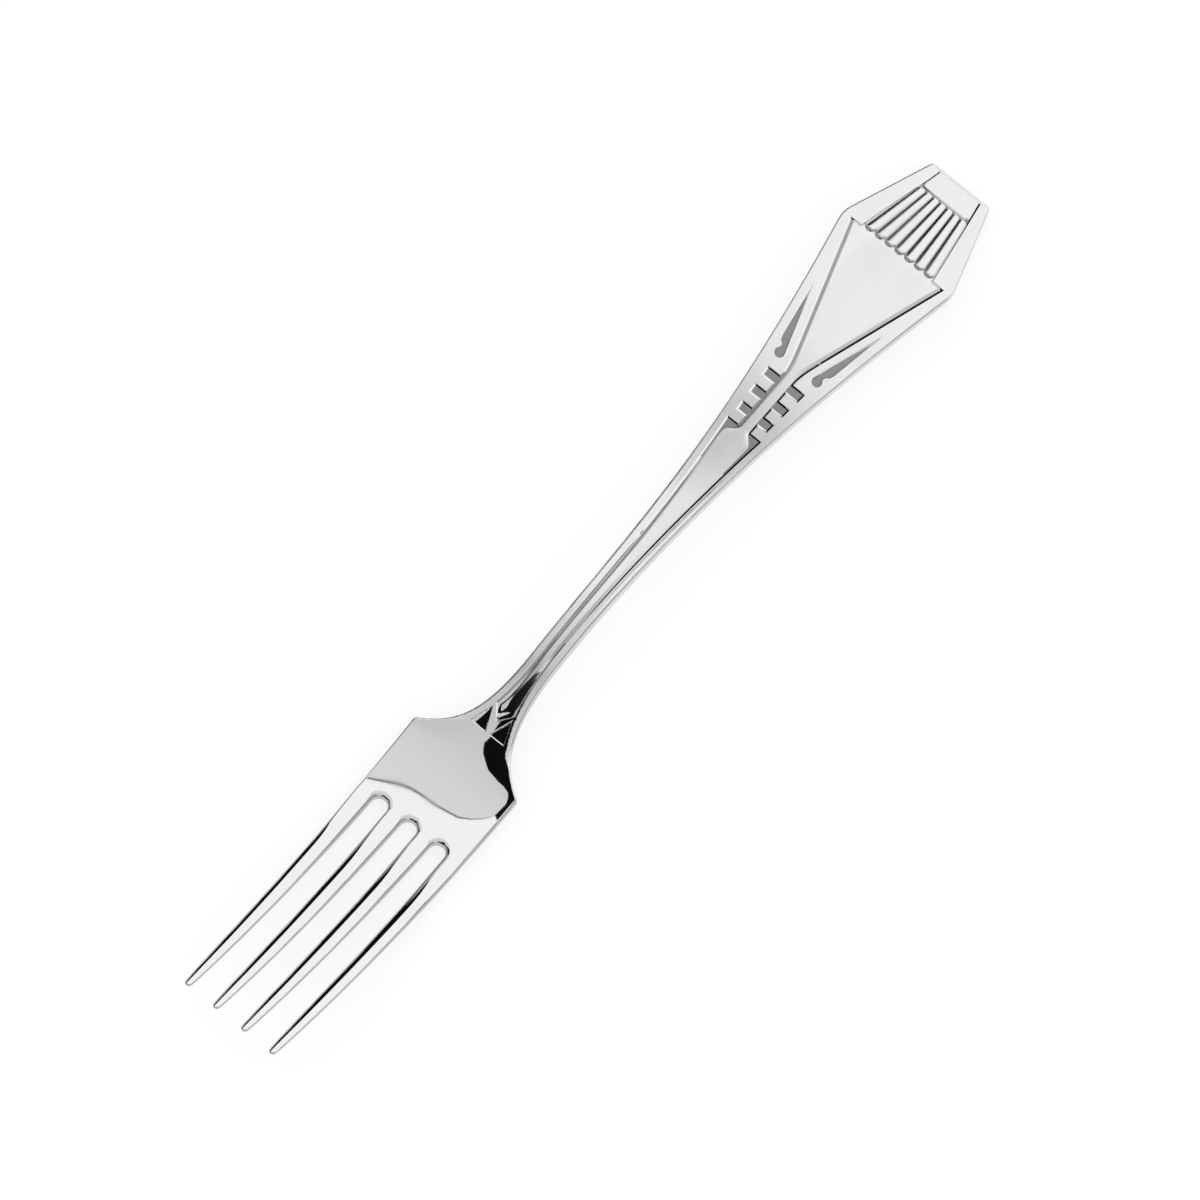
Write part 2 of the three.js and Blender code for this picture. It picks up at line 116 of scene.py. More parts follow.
# Depths of the ornament: what is sunk beyond the common depth, and how far raised forms reach below the floor
CHANNEL_EXTRA = 0.1 * MM
FAN_EXTRA = 0.2 * MM
POCKET_LEAN = 0.35 * MM
RELIEF_FOOTING = 0.25 * MM
PANEL_FOOTING = 0.05 * MM

# The reeds, with a rounded nose beside the shield and a rounded heel beside the tablet
REED_COUNT = 7
NOSE_START = KNEE + 0.05 * MM
NOSE_LENGTH = 0.95 * MM
NOSE_GAP = 0.22 * MM
NOSE_DIP = 0.05 * MM
NOSE_ROWS = 7
HEEL_LENGTH = 0.5 * MM
HEEL_ROWS = 6
REED_CREST = 0.16 * MM
REED_CLEARANCE = 0.02 * MM
REED_ROUNDNESS = 0.19
REED_POWER = 2.2
REED_COLUMNS = 16
REED_END_SHARE = 0.02

# The rib, the shield and the tablet
RIB_POINT = CROSS + 0.5 * MM
RIB_POINT_SHARE = 0.03
RIB_START = CROSS + 0.6 * MM
RIB_NARROWING = TEETH_START - 2.4 * MM
RIB_COLUMNS = 8
GROUND_START = TEETH_START - 8 * MM
SHIELD_STRETCH = KNEE - 2.5 * MM
SHIELD_CORNER = KNEE - 0.42 * MM
SHIELD_REACH = KNEE - 0.22 * MM
SHIELD_COLUMNS = 90
SIDE_SHARE = 0.6
SIDE_SOFTNESS = 0.06 * MM
BEVEL_SHARES = (0, 0.25, 0.5, 0.75, 0.9, 1, 1.12)
TAIL_FADE_START = APEX - 0.8 * MM
TAIL_FADE_END = APEX + 2.2 * MM
TABLET_CHAMFER = 0.6 * MM
TABLET_TUCK = 0.2 * MM
TABLET_BEVEL = 0.3 * MM
TABLET_LIP = 0.06 * MM

# The flat blank that every section is cut from
BLANK_DEPTH = 3.0 * MM
TOP_DEPTH = 0.7 * MM
BACK_DEPTH = 0.45 * MM
STATION_STEP = 0.8 * MM
RELIEF_STEP = 0.5 * MM
FINE_STEP = 0.3 * MM
STRIP_WIDTH = 0.25 * MM
SNAP = 0.004 * MM
SMOOTH_LIMIT = math.cos(math.radians(32))
LEVEL_LIMIT = 0.9999
UPRIGHT_LIMIT = 0.001
TIP_RADIUS = 0.44 * MM
SLOT_STEPS = 14
CHANNEL_STEPS = 60
CORNER_SEGMENTS = 5
KNEE_SEGMENTS = 8
EDGE_SEGMENTS = 4
LIP_SEGMENTS = 2
PANEL_LIP_SEGMENTS = 3

# Materials of a piece by their places, and the range that most of a noise pattern lies in
SILVER, GROUND, WALL = 0, 1, 2
NOISE_LOW, NOISE_HIGH = 0.3, 0.7


def mix(a, b, share):
    """The value that lies that share of the way from a to b."""
    return a + (b - a) * share


def share_of(a, b, value):
    """How far value lies from a to b, held between 0 and 1."""
    return min(max((value - a) / (b - a), 0.0), 1.0)


def eased(a, b, value):
    """Like share_of, with a soft start and a soft end."""
    share = share_of(a, b, value)
    return share * share * (3 - 2 * share)


def ramp(value, softness):
    """0 below zero and value above it, rounded within softness of the turn."""
    if value <= -softness:
        return 0.0
    if value >= softness:
        return value
    return (value + softness) ** 2 / (4 * softness)


class Curve:
    """A natural cubic spline through (station, value) knots, straight beyond both ends."""

    def __init__(self, *knots):
        self.at = [knot[0] for knot in knots]
        self.value = [knot[1] for knot in knots]
        last = len(knots) - 1
        self.step = [self.at[i + 1] - self.at[i] for i in range(last)]
        self.rise = [(self.value[i + 1] - self.value[i]) / self.step[i] for i in range(last)]
        self.bend = [0.0] * (last + 1)
        weight = [0.0] * (last + 1)
        for i in range(1, last):
            pivot = 2 * (self.step[i - 1] + self.step[i]) - self.step[i - 1] * weight[i - 1]
            weight[i] = self.step[i] / pivot
            turn = 6 * (self.rise[i] - self.rise[i - 1])
            self.bend[i] = (turn - self.step[i - 1] * self.bend[i - 1]) / pivot
        for i in range(last - 1, 0, -1):
            self.bend[i] -= weight[i] * self.bend[i + 1]

    def __call__(self, at):
        i = min(max(bisect_right(self.at, at) - 1, 0), len(self.step) - 1)
        step = self.step[i]
        if at < self.at[0]:
            return self.value[0] + (at - self.at[0]) * (self.rise[0] - step * self.bend[1] / 6)
        if at > self.at[-1]:
            return self.value[-1] + (at - self.at[-1]) * (self.rise[-1] + step * self.bend[-2] / 6)
        near = (at - self.at[i]) / step
        far = 1 - near
        pull = (far**3 - far) * self.bend[i] + (near**3 - near) * self.bend[i + 1]
        return far * self.value[i] + near * self.value[i + 1] + pull * step * step / 6


def along(distance):
    """The station at that distance in millimetres from the tips of the tines."""
    return TIPS + distance * MM


# Side profile: the height of the underside and the thickness above it
HANDLE_BACK = Curve(
    (TIPS, 12.8 * MM),
    (along(15), 6.45 * MM),
    (along(30), 2.0 * MM),
    (along(40), 0.35 * MM),
    (HEEL, 0.0),
    (SHOULDER, 0.4 * MM),
    (WAIST, 5.0 * MM),
    (CROWN, 6.1 * MM),
    (TEETH_START, 4.6 * MM),
    (KNEE, 3.5 * MM),
)
THICKNESS = Curve(
    (TIPS, 1.0 * MM),
    (along(22), 1.55 * MM),
    (ROOT, 2.1 * MM),
    (along(60), 2.5 * MM),
    (WAIST, 3.2 * MM),
    (CROWN, 2.92 * MM),
    (along(140), 2.47 * MM),
    (HANDLE_END, 2.0 * MM),
)
KNEE_SOFTNESS = 1.4 * MM
END_LEVEL = -0.3 * MM
KITE_SLOPE = (HANDLE_BACK(HANDLE_END) - END_LEVEL) / (HANDLE_END - KNEE)

# The hollow of the palm: how far its sides rise, and the half width at which they have risen so far
DISH_END = along(90)
DISH_RISE = Curve(
    (TIPS, 0.0),
    (HEEL, 0.8 * MM),
    (SHOULDER, 0.8 * MM),
    (NECK_START, 0.6 * MM),
    (STEM_START, 0.3 * MM),
    (WAIST, 0.0),
    (DISH_END, 0.0),
)
DISH_HALF = Curve(
    (TIPS, 10.4 * MM),
    (along(20), 10.4 * MM),
    (along(40), 10.4 * MM),
    (along(50), 10.4 * MM),
    (along(55), 10.3 * MM),
    (SHOULDER, 9.3 * MM),
    (along(60), 6.9 * MM),
    (along(63), 4.7 * MM),
    (STEM_START, 3.0 * MM),
    (WAIST, 2.35 * MM),
    (DISH_END, 2.3 * MM),
)
DISH_POWER = 2.5
DISH_RIM_START = -0.5 * MM
DISH_RIM = 1.2 * MM
DISH_RIM_SOFTNESS = 0.3 * MM

# The rounded upper face of the tines, the roll into the slots and the rolled rims of the stem
CROWN_SHARE = 0.36
CROWN_POWER = 2.2
CROWN_LIMIT = 1.2
CROWN_FADE = along(32)
SLOT_ROLL = 0.22 * MM
SLOT_ROLL_WIDTH = 0.8 * MM
RIM_ROLL = 0.05 * MM
RIM_ROLL_FULL = along(90)
RIM_ROLL_FADE = along(114)

# Changes along the stem: the channel's floor, the hollow at the start of the rib, the start of the rib's
# falling sides at +Y and at -Y, their rounding, and the gloss
CHANNEL_RISE_END = along(92)
HOLLOW_DEPTH_SHARE = 0.13
HOLLOW_START_WIDTH = 2.0 * MM
HOLLOW_END_WIDTH = 0.5 * MM
HOLLOW_NARROWING = (along(68), along(77))
HOLLOW_FADE = (along(73), along(80))
SIDE_START_PLUS = along(65)
SIDE_START_MINUS = along(73)
SIDE_START_LENGTH = 7 * MM
ROUNDING = (along(90), along(116))
ROUNDING_POWERS = (3, 2)
ROUNDING_POWER_CHANGE = along(117)
GLOSS_CHANGE = (along(66), along(84))

# Outline curves of the flare and the handle, as (station, half width) corners of a cubic curve
FLARE = [
    Vector((SHOULDER, SHOULDER_HALF)),
    Vector((mix(SHOULDER, WAIST, 0.16), mix(WAIST_HALF, SHOULDER_HALF, 0.34))),
    Vector((mix(SHOULDER, WAIST, 0.38), WAIST_HALF)),
    Vector((WAIST, WAIST_HALF)),
]
HANDLE = [
    Vector((WAIST, WAIST_HALF)),
    Vector((mix(WAIST, KNEE, 0.44), WAIST_HALF)),
    Vector((mix(WAIST, KNEE, 0.67), mix(WAIST_HALF, KNEE_HALF, 0.33))),
    Vector((KNEE, KNEE_HALF)),
]
FLARE_POINTS = 26
HANDLE_POINTS = 44


def bezier(corners, points):
    """Points along a cubic curve."""
    return interpolate_bezier(*corners, points)


def height_of(points, x):
    """The height of a row of (x, y) points at x, which runs upwards along the row."""
    i = min(max(bisect_right([p.x for p in points], x) - 1, 0), len(points) - 2)
    share = share_of(points[i].x, points[i + 1].x, x)
    return mix(points[i].y, points[i + 1].y, share)


FLARE_LINE = bezier(FLARE, FLARE_POINTS)
HANDLE_LINE = bezier(HANDLE, HANDLE_POINTS)


def half_width(x):
    """Half the fork's width at a station of the handle."""
    if x < WAIST:
        return height_of(FLARE_LINE, x)
    if x < KNEE:
        return height_of(HANDLE_LINE, x)
    return mix(KNEE_HALF, END_HALF, share_of(KNEE, HANDLE_END, x))


def channel_half(x):
    """Half the width of the channel between the rims of the stem."""
    return half_width(x) - RIM_WIDTH


def fan_half(x):
    """Half the width of the sunk fan past the knee."""
    return mix(FAN_HALF, FAN_END_HALF, share_of(KNEE, HANDLE_END, x))


def dish(x, y):
    """How far the hollow of the palm lifts its sides."""
    if x > DISH_END:
        return 0.0
    reach = abs(y)
    if x > SHOULDER:
        rim = mix(DISH_RIM_START, DISH_RIM, eased(SHOULDER + MM, NECK_START + MM, x))
        reach -= ramp(reach - half_width(x) + rim, DISH_RIM_SOFTNESS)
    return max(DISH_RISE(x), 0.0) * (reach / DISH_HALF(x)) ** DISH_POWER


def tine_pitch(x):
    """Distance between the middle lines of two tines."""
    return mix(TIP_PITCH, ROOT_PITCH, share_of(TIPS, TINE_JOINT, x))


def tine_middle(tine, x):
    """The middle line of a tine, counted from -Y."""
    return (tine - (TINE_COUNT - 1) / 2) * tine_pitch(x)


def tine_half(x):
    """Half a tine's width, which swells quickly behind its tip."""
    return mix(TINE_TIP_WIDTH, TINE_ROOT_WIDTH, math.sqrt(share_of(TIPS, TINE_JOINT, x))) / 2


def tine_crown(x, y):
    """How far the rounded upper face of a tine drops from its middle line towards its edges."""
    if x > TINE_JOINT:
        return 0.0
    tine = min(max(round(y / tine_pitch(x) + (TINE_COUNT - 1) / 2), 0), TINE_COUNT - 1)
    outwards = min(abs(y - tine_middle(tine, x)) / tine_half(x), CROWN_LIMIT)
    fade = 1 - eased(CROWN_FADE, TINE_JOINT, x)
    return CROWN_SHARE * tine_half(x) * outwards**CROWN_POWER * fade


def slot_roll(x, y):
    """How far the upper face rolls down into the round end of the nearest slot."""
    fade = eased(CROWN_FADE, TINE_JOINT, x)
    if not fade or x > ROOT + SLOT_ROLL_WIDTH:
        return 0.0
    slot = min(max(round(y / ROOT_PITCH), -1), 1)
    ahead = max(x - ROOT + SLOT_WIDTH / 2, 0.0)
    gap = math.hypot(ahead, y - slot * ROOT_PITCH) - SLOT_WIDTH / 2
    return SLOT_ROLL * fade * (1 - share_of(0, SLOT_ROLL_WIDTH, gap)) ** 2


def back_line(x):
    """Height of the underside along the middle, before it is ground flat where the fork rests."""
    return HANDLE_BACK(x) - KITE_SLOPE * ramp(x - KNEE, KNEE_SOFTNESS)


def rim_roll(x, y):
    """How far the gently rolled rim of the handle stands above or below the level of its upper face."""
    fade = eased(WAIST, RIM_ROLL_FULL, x) * (1 - eased(RIM_ROLL_FADE, TEETH_START, x))
    if not fade:
        return 0.0
    inwards = share_of(0, RIM_WIDTH, half_width(x) - abs(y))
    return -RIM_ROLL * fade * math.cos(2 * math.pi * inwards)


def top_surface(x, y):
    """Height of the upper face."""
    level = back_line(x) + THICKNESS(x) + dish(x, y)
    return level - tine_crown(x, y) - slot_roll(x, y) + rim_roll(x, y)


def back_surface(x, y):
    """Height of the underside, ground flat where the fork rests on the table."""
    return max(back_line(x) + dish(x, y), 0.0)


def bent(co):
    """Where a point of the flat blank lies on the fork: relief and rounded edges keep their depths."""
    top = top_surface(co.x, co.y)
    back = back_surface(co.x, co.y)
    above = co.z + BLANK_DEPTH
    if co.z >= -TOP_DEPTH:
        level = top + co.z
    elif above <= BACK_DEPTH:
        level = back + above
    else:
        level = mix(top - TOP_DEPTH, back + BACK_DEPTH, share_of(-TOP_DEPTH, BACK_DEPTH - BLANK_DEPTH, co.z))
    return Vector((co.x, co.y, level))


def bent_normal(co, normal):
    """The direction that a normal of the flat blank takes on the fork."""
    surface = top_surface if co.z > -BLANK_DEPTH / 2 else back_surface
    reach = 0.05 * MM
    slope_x = (surface(co.x + reach, co.y) - surface(co.x - reach, co.y)) / (2 * reach)
    slope_y = (surface(co.x, co.y + reach) - surface(co.x, co.y - reach)) / (2 * reach)
    turned = Vector((normal.x - slope_x * normal.z, normal.y - slope_y * normal.z, normal.z))
    return turned.normalized()


def tine_stations():
    """Stations along a tine from its tip to its root, closer together towards the tip."""
    steps = 16
    first = TIPS + 0.9 * MM
    return [TIPS] + [mix(first, TINE_JOINT, (i / steps) ** 2) for i in range(steps + 1)]


def arc(middle, radius, start, end, steps):
    """Points on an arc, by angles in degrees."""
    angles = [math.radians(mix(start, end, i / steps)) for i in range(steps + 1)]
    return [Vector((middle.x + radius * math.cos(a), middle.y + radius * math.sin(a))) for a in angles]


def slot_end(middle_y, last_angle):
    """The round end of a slot between two tines, from its +Y side."""
    radius = SLOT_WIDTH / 2
    return arc(Vector((ROOT - radius, middle_y)), radius, 90, last_angle, SLOT_STEPS)


def outline_half():
    """The +Y half of the fork's outline, from the end of the handle to the root of the middle slot."""
    points = [Vector((HANDLE_END, 0)), Vector((HANDLE_END, END_HALF))]
    points += reversed(HANDLE_LINE)
    points += reversed(FLARE_LINE[:-1])
    points.append(Vector((ROOT, ROOT_HALF)))
    for tine in (OUTER_TINE, INNER_TINE):
        outer = [Vector((x, tine_middle(tine, x) + tine_half(x))) for x in tine_stations()]
        inner = [Vector((x, tine_middle(tine, x) - tine_half(x))) for x in tine_stations()]
        points += reversed(outer)
        points += inner
        points += slot_end((tine - INNER_TINE) * ROOT_PITCH, -90 if tine == OUTER_TINE else 0)
    return points


def chain(bm, points, closed=False):
    """Adds a row of corners on the upper face, joined by edges."""
    verts = [bm.verts.new((p.x, p.y, 0)) for p in points]
    pairs = list(zip(verts, verts[1:] + verts[:1] if closed else verts[1:]))
    edges = [bm.edges.new(pair) for pair in pairs]
    return verts, edges


def opposite(points):
    """The same outline on the -Y side."""
    return [Vector((p.x, -p.y)) for p in reversed(points)]


def mirrored_loop(bm, half):
    """Adds a closed loop from the half of it that starts and ends on the middle line."""
    return chain(bm, half + opposite(half[1:-1]), closed=True)


def near(value, wanted):
    """True where two levels are the same."""
    return abs(value - wanted) < SNAP


def round_off(bm, geom, radius, segments, affect="EDGES"):
    """Rounds these edges, or these corners of an outline."""
    bmesh.ops.bevel(
        bm,
        geom=geom,
        offset=radius,
        offset_type="OFFSET",
        segments=segments,
        profile=0.5,
        affect=affect,
        clamp_overlap=False,
        material=-1,
    )


def round_corners(bm, corners, radius, segments=CORNER_SEGMENTS):
    """Rounds the corners of the outline that lie at these (x, y) places and at their mirror places."""
    places = [Vector((p.x, side * p.y, 0)) for p in corners for side in (1, -1)]
    verts = [v for v in bm.verts if any((v.co - place).length < SNAP for place in places)]
    round_off(bm, verts, radius, segments, "VERTICES")


def level_edges(bm, level):
    """Edges whose two ends lie at this level."""
    return [e for e in bm.edges if all(near(v.co.z, level) for v in e.verts)]


def sunk_half():
    """The +Y half of the sunk field: the cross, the channel, the squares, the shield and the fan."""
    points = [Vector((CROSS, 0))]
    for i in range(CHANNEL_STEPS + 1):
        x = mix(ORNAMENT_END, TEETH_START, i / CHANNEL_STEPS)
        points.append(Vector((x, channel_half(x))))
    for tooth in range(TOOTH_COUNT):
        start = TEETH_START + tooth * TOOTH_PITCH
        width = mix(FIRST_SQUARE_WIDTH, LAST_SQUARE_WIDTH, tooth / (TOOTH_COUNT - 1))
        slant = (LAST_SQUARE_WIDTH - FIRST_SQUARE_WIDTH) / (TOOTH_COUNT - 1) * SQUARE_LENGTH / TOOTH_PITCH
        square = start + TOOTH_LENGTH
        points.append(Vector((start, CORRIDOR_HALF)))
        points.append(Vector((square, CORRIDOR_HALF)))
        points.append(Vector((square, TAIL_HALF + width - slant / 2)))
        points.append(Vector((square + SQUARE_LENGTH, TAIL_HALF + width + slant / 2)))
    points.append(Vector((TEETH_START + TOOTH_COUNT * TOOTH_PITCH, CORRIDOR_HALF)))
    points += apex_curve(CORRIDOR_HALF, SHIELD_HALF)
    points.append(Vector((KNEE, SHIELD_HALF)))
    points.append(Vector((KNEE, FAN_HALF)))
    points.append(Vector((fan_end(), fan_half(fan_end()))))
    points.append(Vector((fan_end(), 0)))
    return points


def apex_curve(tail, corner):
    """The bend from the tail into the side of the shield, which would end at the corner."""
    turn = Vector((APEX, tail))
    start = turn - Vector((1.4 * MM, 0))
    start_pull = turn - Vector((0.3 * MM, 0))
    end = mix(turn, Vector((KNEE, corner)), 0.14)
    end_pull = mix(turn, end, 0.4)
    return bezier([start, start_pull, end_pull, end], 8)


def fan_end():
    """Where the sunk fan stops, just inside the rounded end edge."""
    return HANDLE_END - bpy.context.scene.fork_shape.edge_radius - 0.02 * MM


def cross_pocket():
    """The pocket between the bars of the cross on the +Y side."""
    return [
        Vector((ORNAMENT, BAR_HALF)),
        Vector((POCKET_TIP, channel_half(ORNAMENT_END))),
        Vector((ORNAMENT, POCKET_HALF)),
    ]


def drop_pocket():
    """The drop beside the shield on the +Y side: a dot that runs out into a long pointed blade."""
    dot = Vector((along(139.4), 3.81 * MM))
    radius = 0.85 * MM
    tip = Vector((along(151.5), 6.91 * MM))
    blade = Vector((along(141.8), 5.24 * MM))
    reach = tip - dot
    tangent = math.degrees(math.atan2(reach.y, reach.x) - math.acos(radius / reach.length))
    round_end = arc(dot, radius, tangent, 50 - 360, 18)
    bite_start = round_end[-1]
    bite_end = mix(bite_start, blade, 0.62)
    start_pull = bite_start + Vector((0.3 * MM, -0.42 * MM))
    end_pull = bite_end + Vector((-0.12 * MM, -0.5 * MM))
    bite = bezier([bite_start, start_pull, end_pull, bite_end], 7)
    return [tip] + round_end + bite[1:] + [blade]


def flat_blank():
    """The whole fork as a flat plate: outlined, given its depth, rounded and sunk where the ornament lies."""
    shape = bpy.context.scene.fork_shape
    bm = bmesh.new()
    chain(bm, outline_half())
    bmesh.ops.mirror(bm, geom=bm.verts[:] + bm.edges[:], axis="Y", merge_dist=SNAP)
    bmesh.ops.contextual_create(bm, geom=bm.edges[:])
    tips = []
    for tine in (INNER_TINE, OUTER_TINE):
        for side in (1, -1):
            tips.append(Vector((TIPS, tine_middle(tine, TIPS) + side * tine_half(TIPS))))
    round_corners(bm, tips, TIP_RADIUS)
    round_corners(bm, [FLARE[0]], shape.shoulder_radius)
    round_corners(bm, [HANDLE[-1]], shape.knee_radius, KNEE_SEGMENTS)
    round_corners(bm, [Vector((HANDLE_END, END_HALF))], shape.shoulder_radius)
    if bm.faces[:][0].normal.z < 0:
        bmesh.ops.reverse_faces(bm, faces=bm.faces[:])
    made = bmesh.ops.extrude_face_region(bm, geom=bm.faces[:], use_keep_orig=True)
    lower = [v for v in made["geom"] if isinstance(v, bmesh.types.BMVert)]
    bmesh.ops.translate(bm, verts=lower, vec=(0, 0, -BLANK_DEPTH))
    bmesh.ops.recalc_face_normals(bm, faces=bm.faces[:])
    round_off(bm, level_edges(bm, -BLANK_DEPTH), shape.back_radius, EDGE_SEGMENTS)
    round_off(bm, level_edges(bm, 0), shape.edge_radius, EDGE_SEGMENTS)
    sink_ornament(bm, shape)
    return bm


def sink_ornament(bm, shape):
    """Cuts the sunk field, the pockets of the cross and the drops into the upper face."""
    top = max(bm.faces, key=lambda face: face.calc_area() * face.normal.z)
    rim = list(top.edges)
    bmesh.ops.delete(bm, geom=[top], context="FACES_ONLY")
    loops = [mirrored_loop(bm, sunk_half())]
    for pocket in (cross_pocket(), drop_pocket()):
        loops += [chain(bm, pocket, closed=True), chain(bm, opposite(pocket), closed=True)]
    edges = rim + [edge for _, loop in loops for edge in loop]
    filled = bmesh.ops.triangle_fill(bm, use_beauty=True, use_dissolve=False, edges=edges, normal=(0, 0, 1))
    land = [face for face in filled["geom"] if isinstance(face, bmesh.types.BMFace)]
    bmesh.ops.reverse_faces(bm, faces=[face for face in land if face.normal.z < 0])
    floors = [bm.faces.new(verts) for verts, _ in loops]
    bm.normal_update()
    bmesh.ops.reverse_faces(bm, faces=[face for face in floors if face.normal.z < 0])
    lips = [edge for _, loop in loops for edge in loop]
    walls = inset(bm, floors[:1], shape.relief_draft, -shape.relief_depth)
    walls += inset(bm, floors[1:], shape.pocket_draft, -shape.pocket_depth)
    for face in walls:
        face.material_index = WALL
    for vert in floors[0].verts:
        vert.co.z -= CHANNEL_EXTRA * (1 - eased(WAIST, CHANNEL_RISE_END, vert.co.x))
        if abs(vert.co.x - KNEE) < MM and abs(vert.co.y) < FAN_HALF:
            vert.co.z -= FAN_EXTRA
    outer = max(floors[1].verts, key=lambda vert: vert.co.y)
    outer.co.z -= POCKET_LEAN
    for face in floors:
        if face.calc_center_median().x > STEM_START:
            face.material_index = GROUND
    round_off(bm, [edge for edge in lips if edge.is_valid], shape.lip_radius, LIP_SEGMENTS)


def inset(bm, faces, draft, rise):
    """Lifts or sinks faces and gives the walls round them, which lean by the draft."""
    made = bmesh.ops.inset_region(
        bm,
        faces=faces,
        thickness=draft,
        depth=rise,
        use_boundary=True,
        use_even_offset=True,
    )
    return made["faces"]


def everything(bm):
    """All the geometry of a mesh, as the cutting operators take it."""
    return bm.verts[:] + bm.edges[:] + bm.faces[:]


def cut(bm, axis, at, **sides):
    """Cuts a mesh square to an axis, and drops a side if asked."""
    place, direction = Vector(), Vector()
    place[axis] = at
    direction[axis] = 1
    bmesh.ops.bisect_plane(bm, geom=everything(bm), dist=SNAP, plane_co=place, plane_no=direction, **sides)


def close(bm):
    """Closes the cut ends of a section with flat faces."""
    made = bmesh.ops.holes_fill(bm, edges=[edge for edge in bm.edges if edge.is_boundary], sides=0)
    bm.normal_update()
    middle = sum((v.co for v in bm.verts), Vector()) / len(bm.verts)
    inward = [face for face in made["faces"] if face.normal.dot(face.calc_center_median() - middle) < 0]
    bmesh.ops.reverse_faces(bm, faces=inward)


def section(start, end, low=None, high=None):
    """The stretch of the blank between two stations, and between two lines along it if they are given."""
    bm = flat_blank()
    cut(bm, 0, start, clear_inner=True)
    cut(bm, 0, end, clear_outer=True)
    if low is not None:
        cut(bm, 1, low, clear_inner=True)
    if high is not None:
        cut(bm, 1, high, clear_outer=True)
    close(bm)
    return bm


def slice_up(bm, length=STATION_STEP, width=None):
    """Divides a flat piece into short slices, and into narrow strips if asked, so that it bends smoothly."""
    bmesh.ops.triangulate(bm, faces=[face for face in bm.faces if len(face.verts) > 4])
    places = [v.co for v in bm.verts]
    for axis, step in ((0, length), (1, width)):
        if step is None:
            continue
        low = min(co[axis] for co in places)
        high = max(co[axis] for co in places)
        count = max(1, round((high - low) / step))
        for i in range(1, count):
            cut(bm, axis, mix(low, high, i / count))
    bmesh.ops.remove_doubles(bm, verts=bm.verts[:], dist=SNAP / 2)


def corner_angle(vert, face):
    """The angle that a face takes up at one of its corners."""
    return next(loop.calc_angle() for loop in face.loops if loop.vert == vert)


def fan_normal(vert, faces):
    """The normal that a smooth fan of faces shares: level and upright faces keep theirs."""
    level = [face for face in faces if abs(face.normal.z) > LEVEL_LIMIT]
    upright = [face for face in faces if abs(face.normal.z) < UPRIGHT_LIMIT]
    total = sum((face.normal * corner_angle(vert, face) for face in level or upright or faces), Vector())
    return total.normalized() if total.length else Vector((0, 0, 1))


def corner_normals(bm):
    """A normal for each face corner of a flat piece, in the order of the faces."""
    bm.normal_update()
    bm.verts.index_update()
    bm.faces.index_update()
    found = {}
    for vert in bm.verts:
        waiting = set(vert.link_faces)
        while waiting:
            fan = [waiting.pop()]
            for face in fan:
                beside = {other for edge in face.edges if vert in edge.verts for other in edge.link_faces}
                joined = [f for f in beside & waiting if face.normal.dot(f.normal) > SMOOTH_LIMIT]
                waiting.difference_update(joined)
                fan.extend(joined)
            normal = fan_normal(vert, fan)
            for face in fan:
                found[face.index, vert.index] = normal
    return [(v.co.copy(), found[face.index, v.index]) for face in bm.faces for v in face.verts]


def finish_piece(bm, name, *nodes, satin=False):
    """Bends a flat piece to the fork's profile and makes it the object that stands for these nodes."""
    corners = corner_normals(bm)
    normals = [bent_normal(co, normal) for co, normal in corners]
    for vert in bm.verts:
        vert.co = bent(vert.co)
    make_object(bm, name, nodes, normals, handle_silver() if satin else head_silver())


def make_object(bm, name, nodes, normals, silver):
    """Turns a finished mesh into an object that rides on the fork."""
    mesh = bpy.data.meshes.new(name)
    bm.to_mesh(mesh)
    bm.free()
    mesh.polygons.foreach_set("use_smooth", [True] * len(mesh.polygons))
    mesh.normals_split_custom_set(normals)
    for material in (silver, struck_ground(), head_silver()):
        mesh.materials.append(material)
    piece = bpy.data.objects.new(name, mesh)
    bpy.context.scene.collection.objects.link(piece)
    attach(piece, "root")
    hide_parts(*nodes)


def add_node(tree, kind, **settings):
    """A shader node with some of its inputs and settings set."""
    node = tree.nodes.new(kind)
    for name, value in settings.items():
        if hasattr(node, name):
            setattr(node, name, value)
        else:
            node.inputs[name.replace("_", " ")].default_value = value
    return node


def empty_tree(owner):
    """The node tree of a material or a world, with no nodes in it yet."""
    owner.use_nodes = True
    owner.node_tree.nodes.clear()
    return owner.node_tree


def metal_material(name):
    """A material of bare metal with its output and shader joined."""
    material = bpy.data.materials.new(name)
    tree = empty_tree(material)
    shader = add_node(tree, "ShaderNodeBsdfPrincipled", Metallic=1)
    output = add_node(tree, "ShaderNodeOutputMaterial")
    tree.links.new(shader.outputs["BSDF"], output.inputs["Surface"])
    return material, tree, shader


def noise(tree, scale, detail, stretch=(1, 1, 1)):
    """A noise pattern fixed to the piece, stretched along the axes."""
    place = add_node(tree, "ShaderNodeTexCoord")
    mapping = add_node(tree, "ShaderNodeMapping", Scale=stretch)
    pattern = add_node(tree, "ShaderNodeTexNoise", Scale=scale, Detail=detail)
    tree.links.new(place.outputs["Object"], mapping.inputs["Vector"])
    tree.links.new(mapping.outputs["Vector"], pattern.inputs["Vector"])
    return pattern.outputs["Fac"]


def between(tree, fac, low, high):
    """A value that follows a pattern from low to high."""
    node = add_node(
        tree,
        "ShaderNodeMapRange",
        From_Min=NOISE_LOW,
        From_Max=NOISE_HIGH,
        To_Min=low,
        To_Max=high,
    )
    tree.links.new(fac, node.inputs["Value"])
    return node.outputs["Result"]


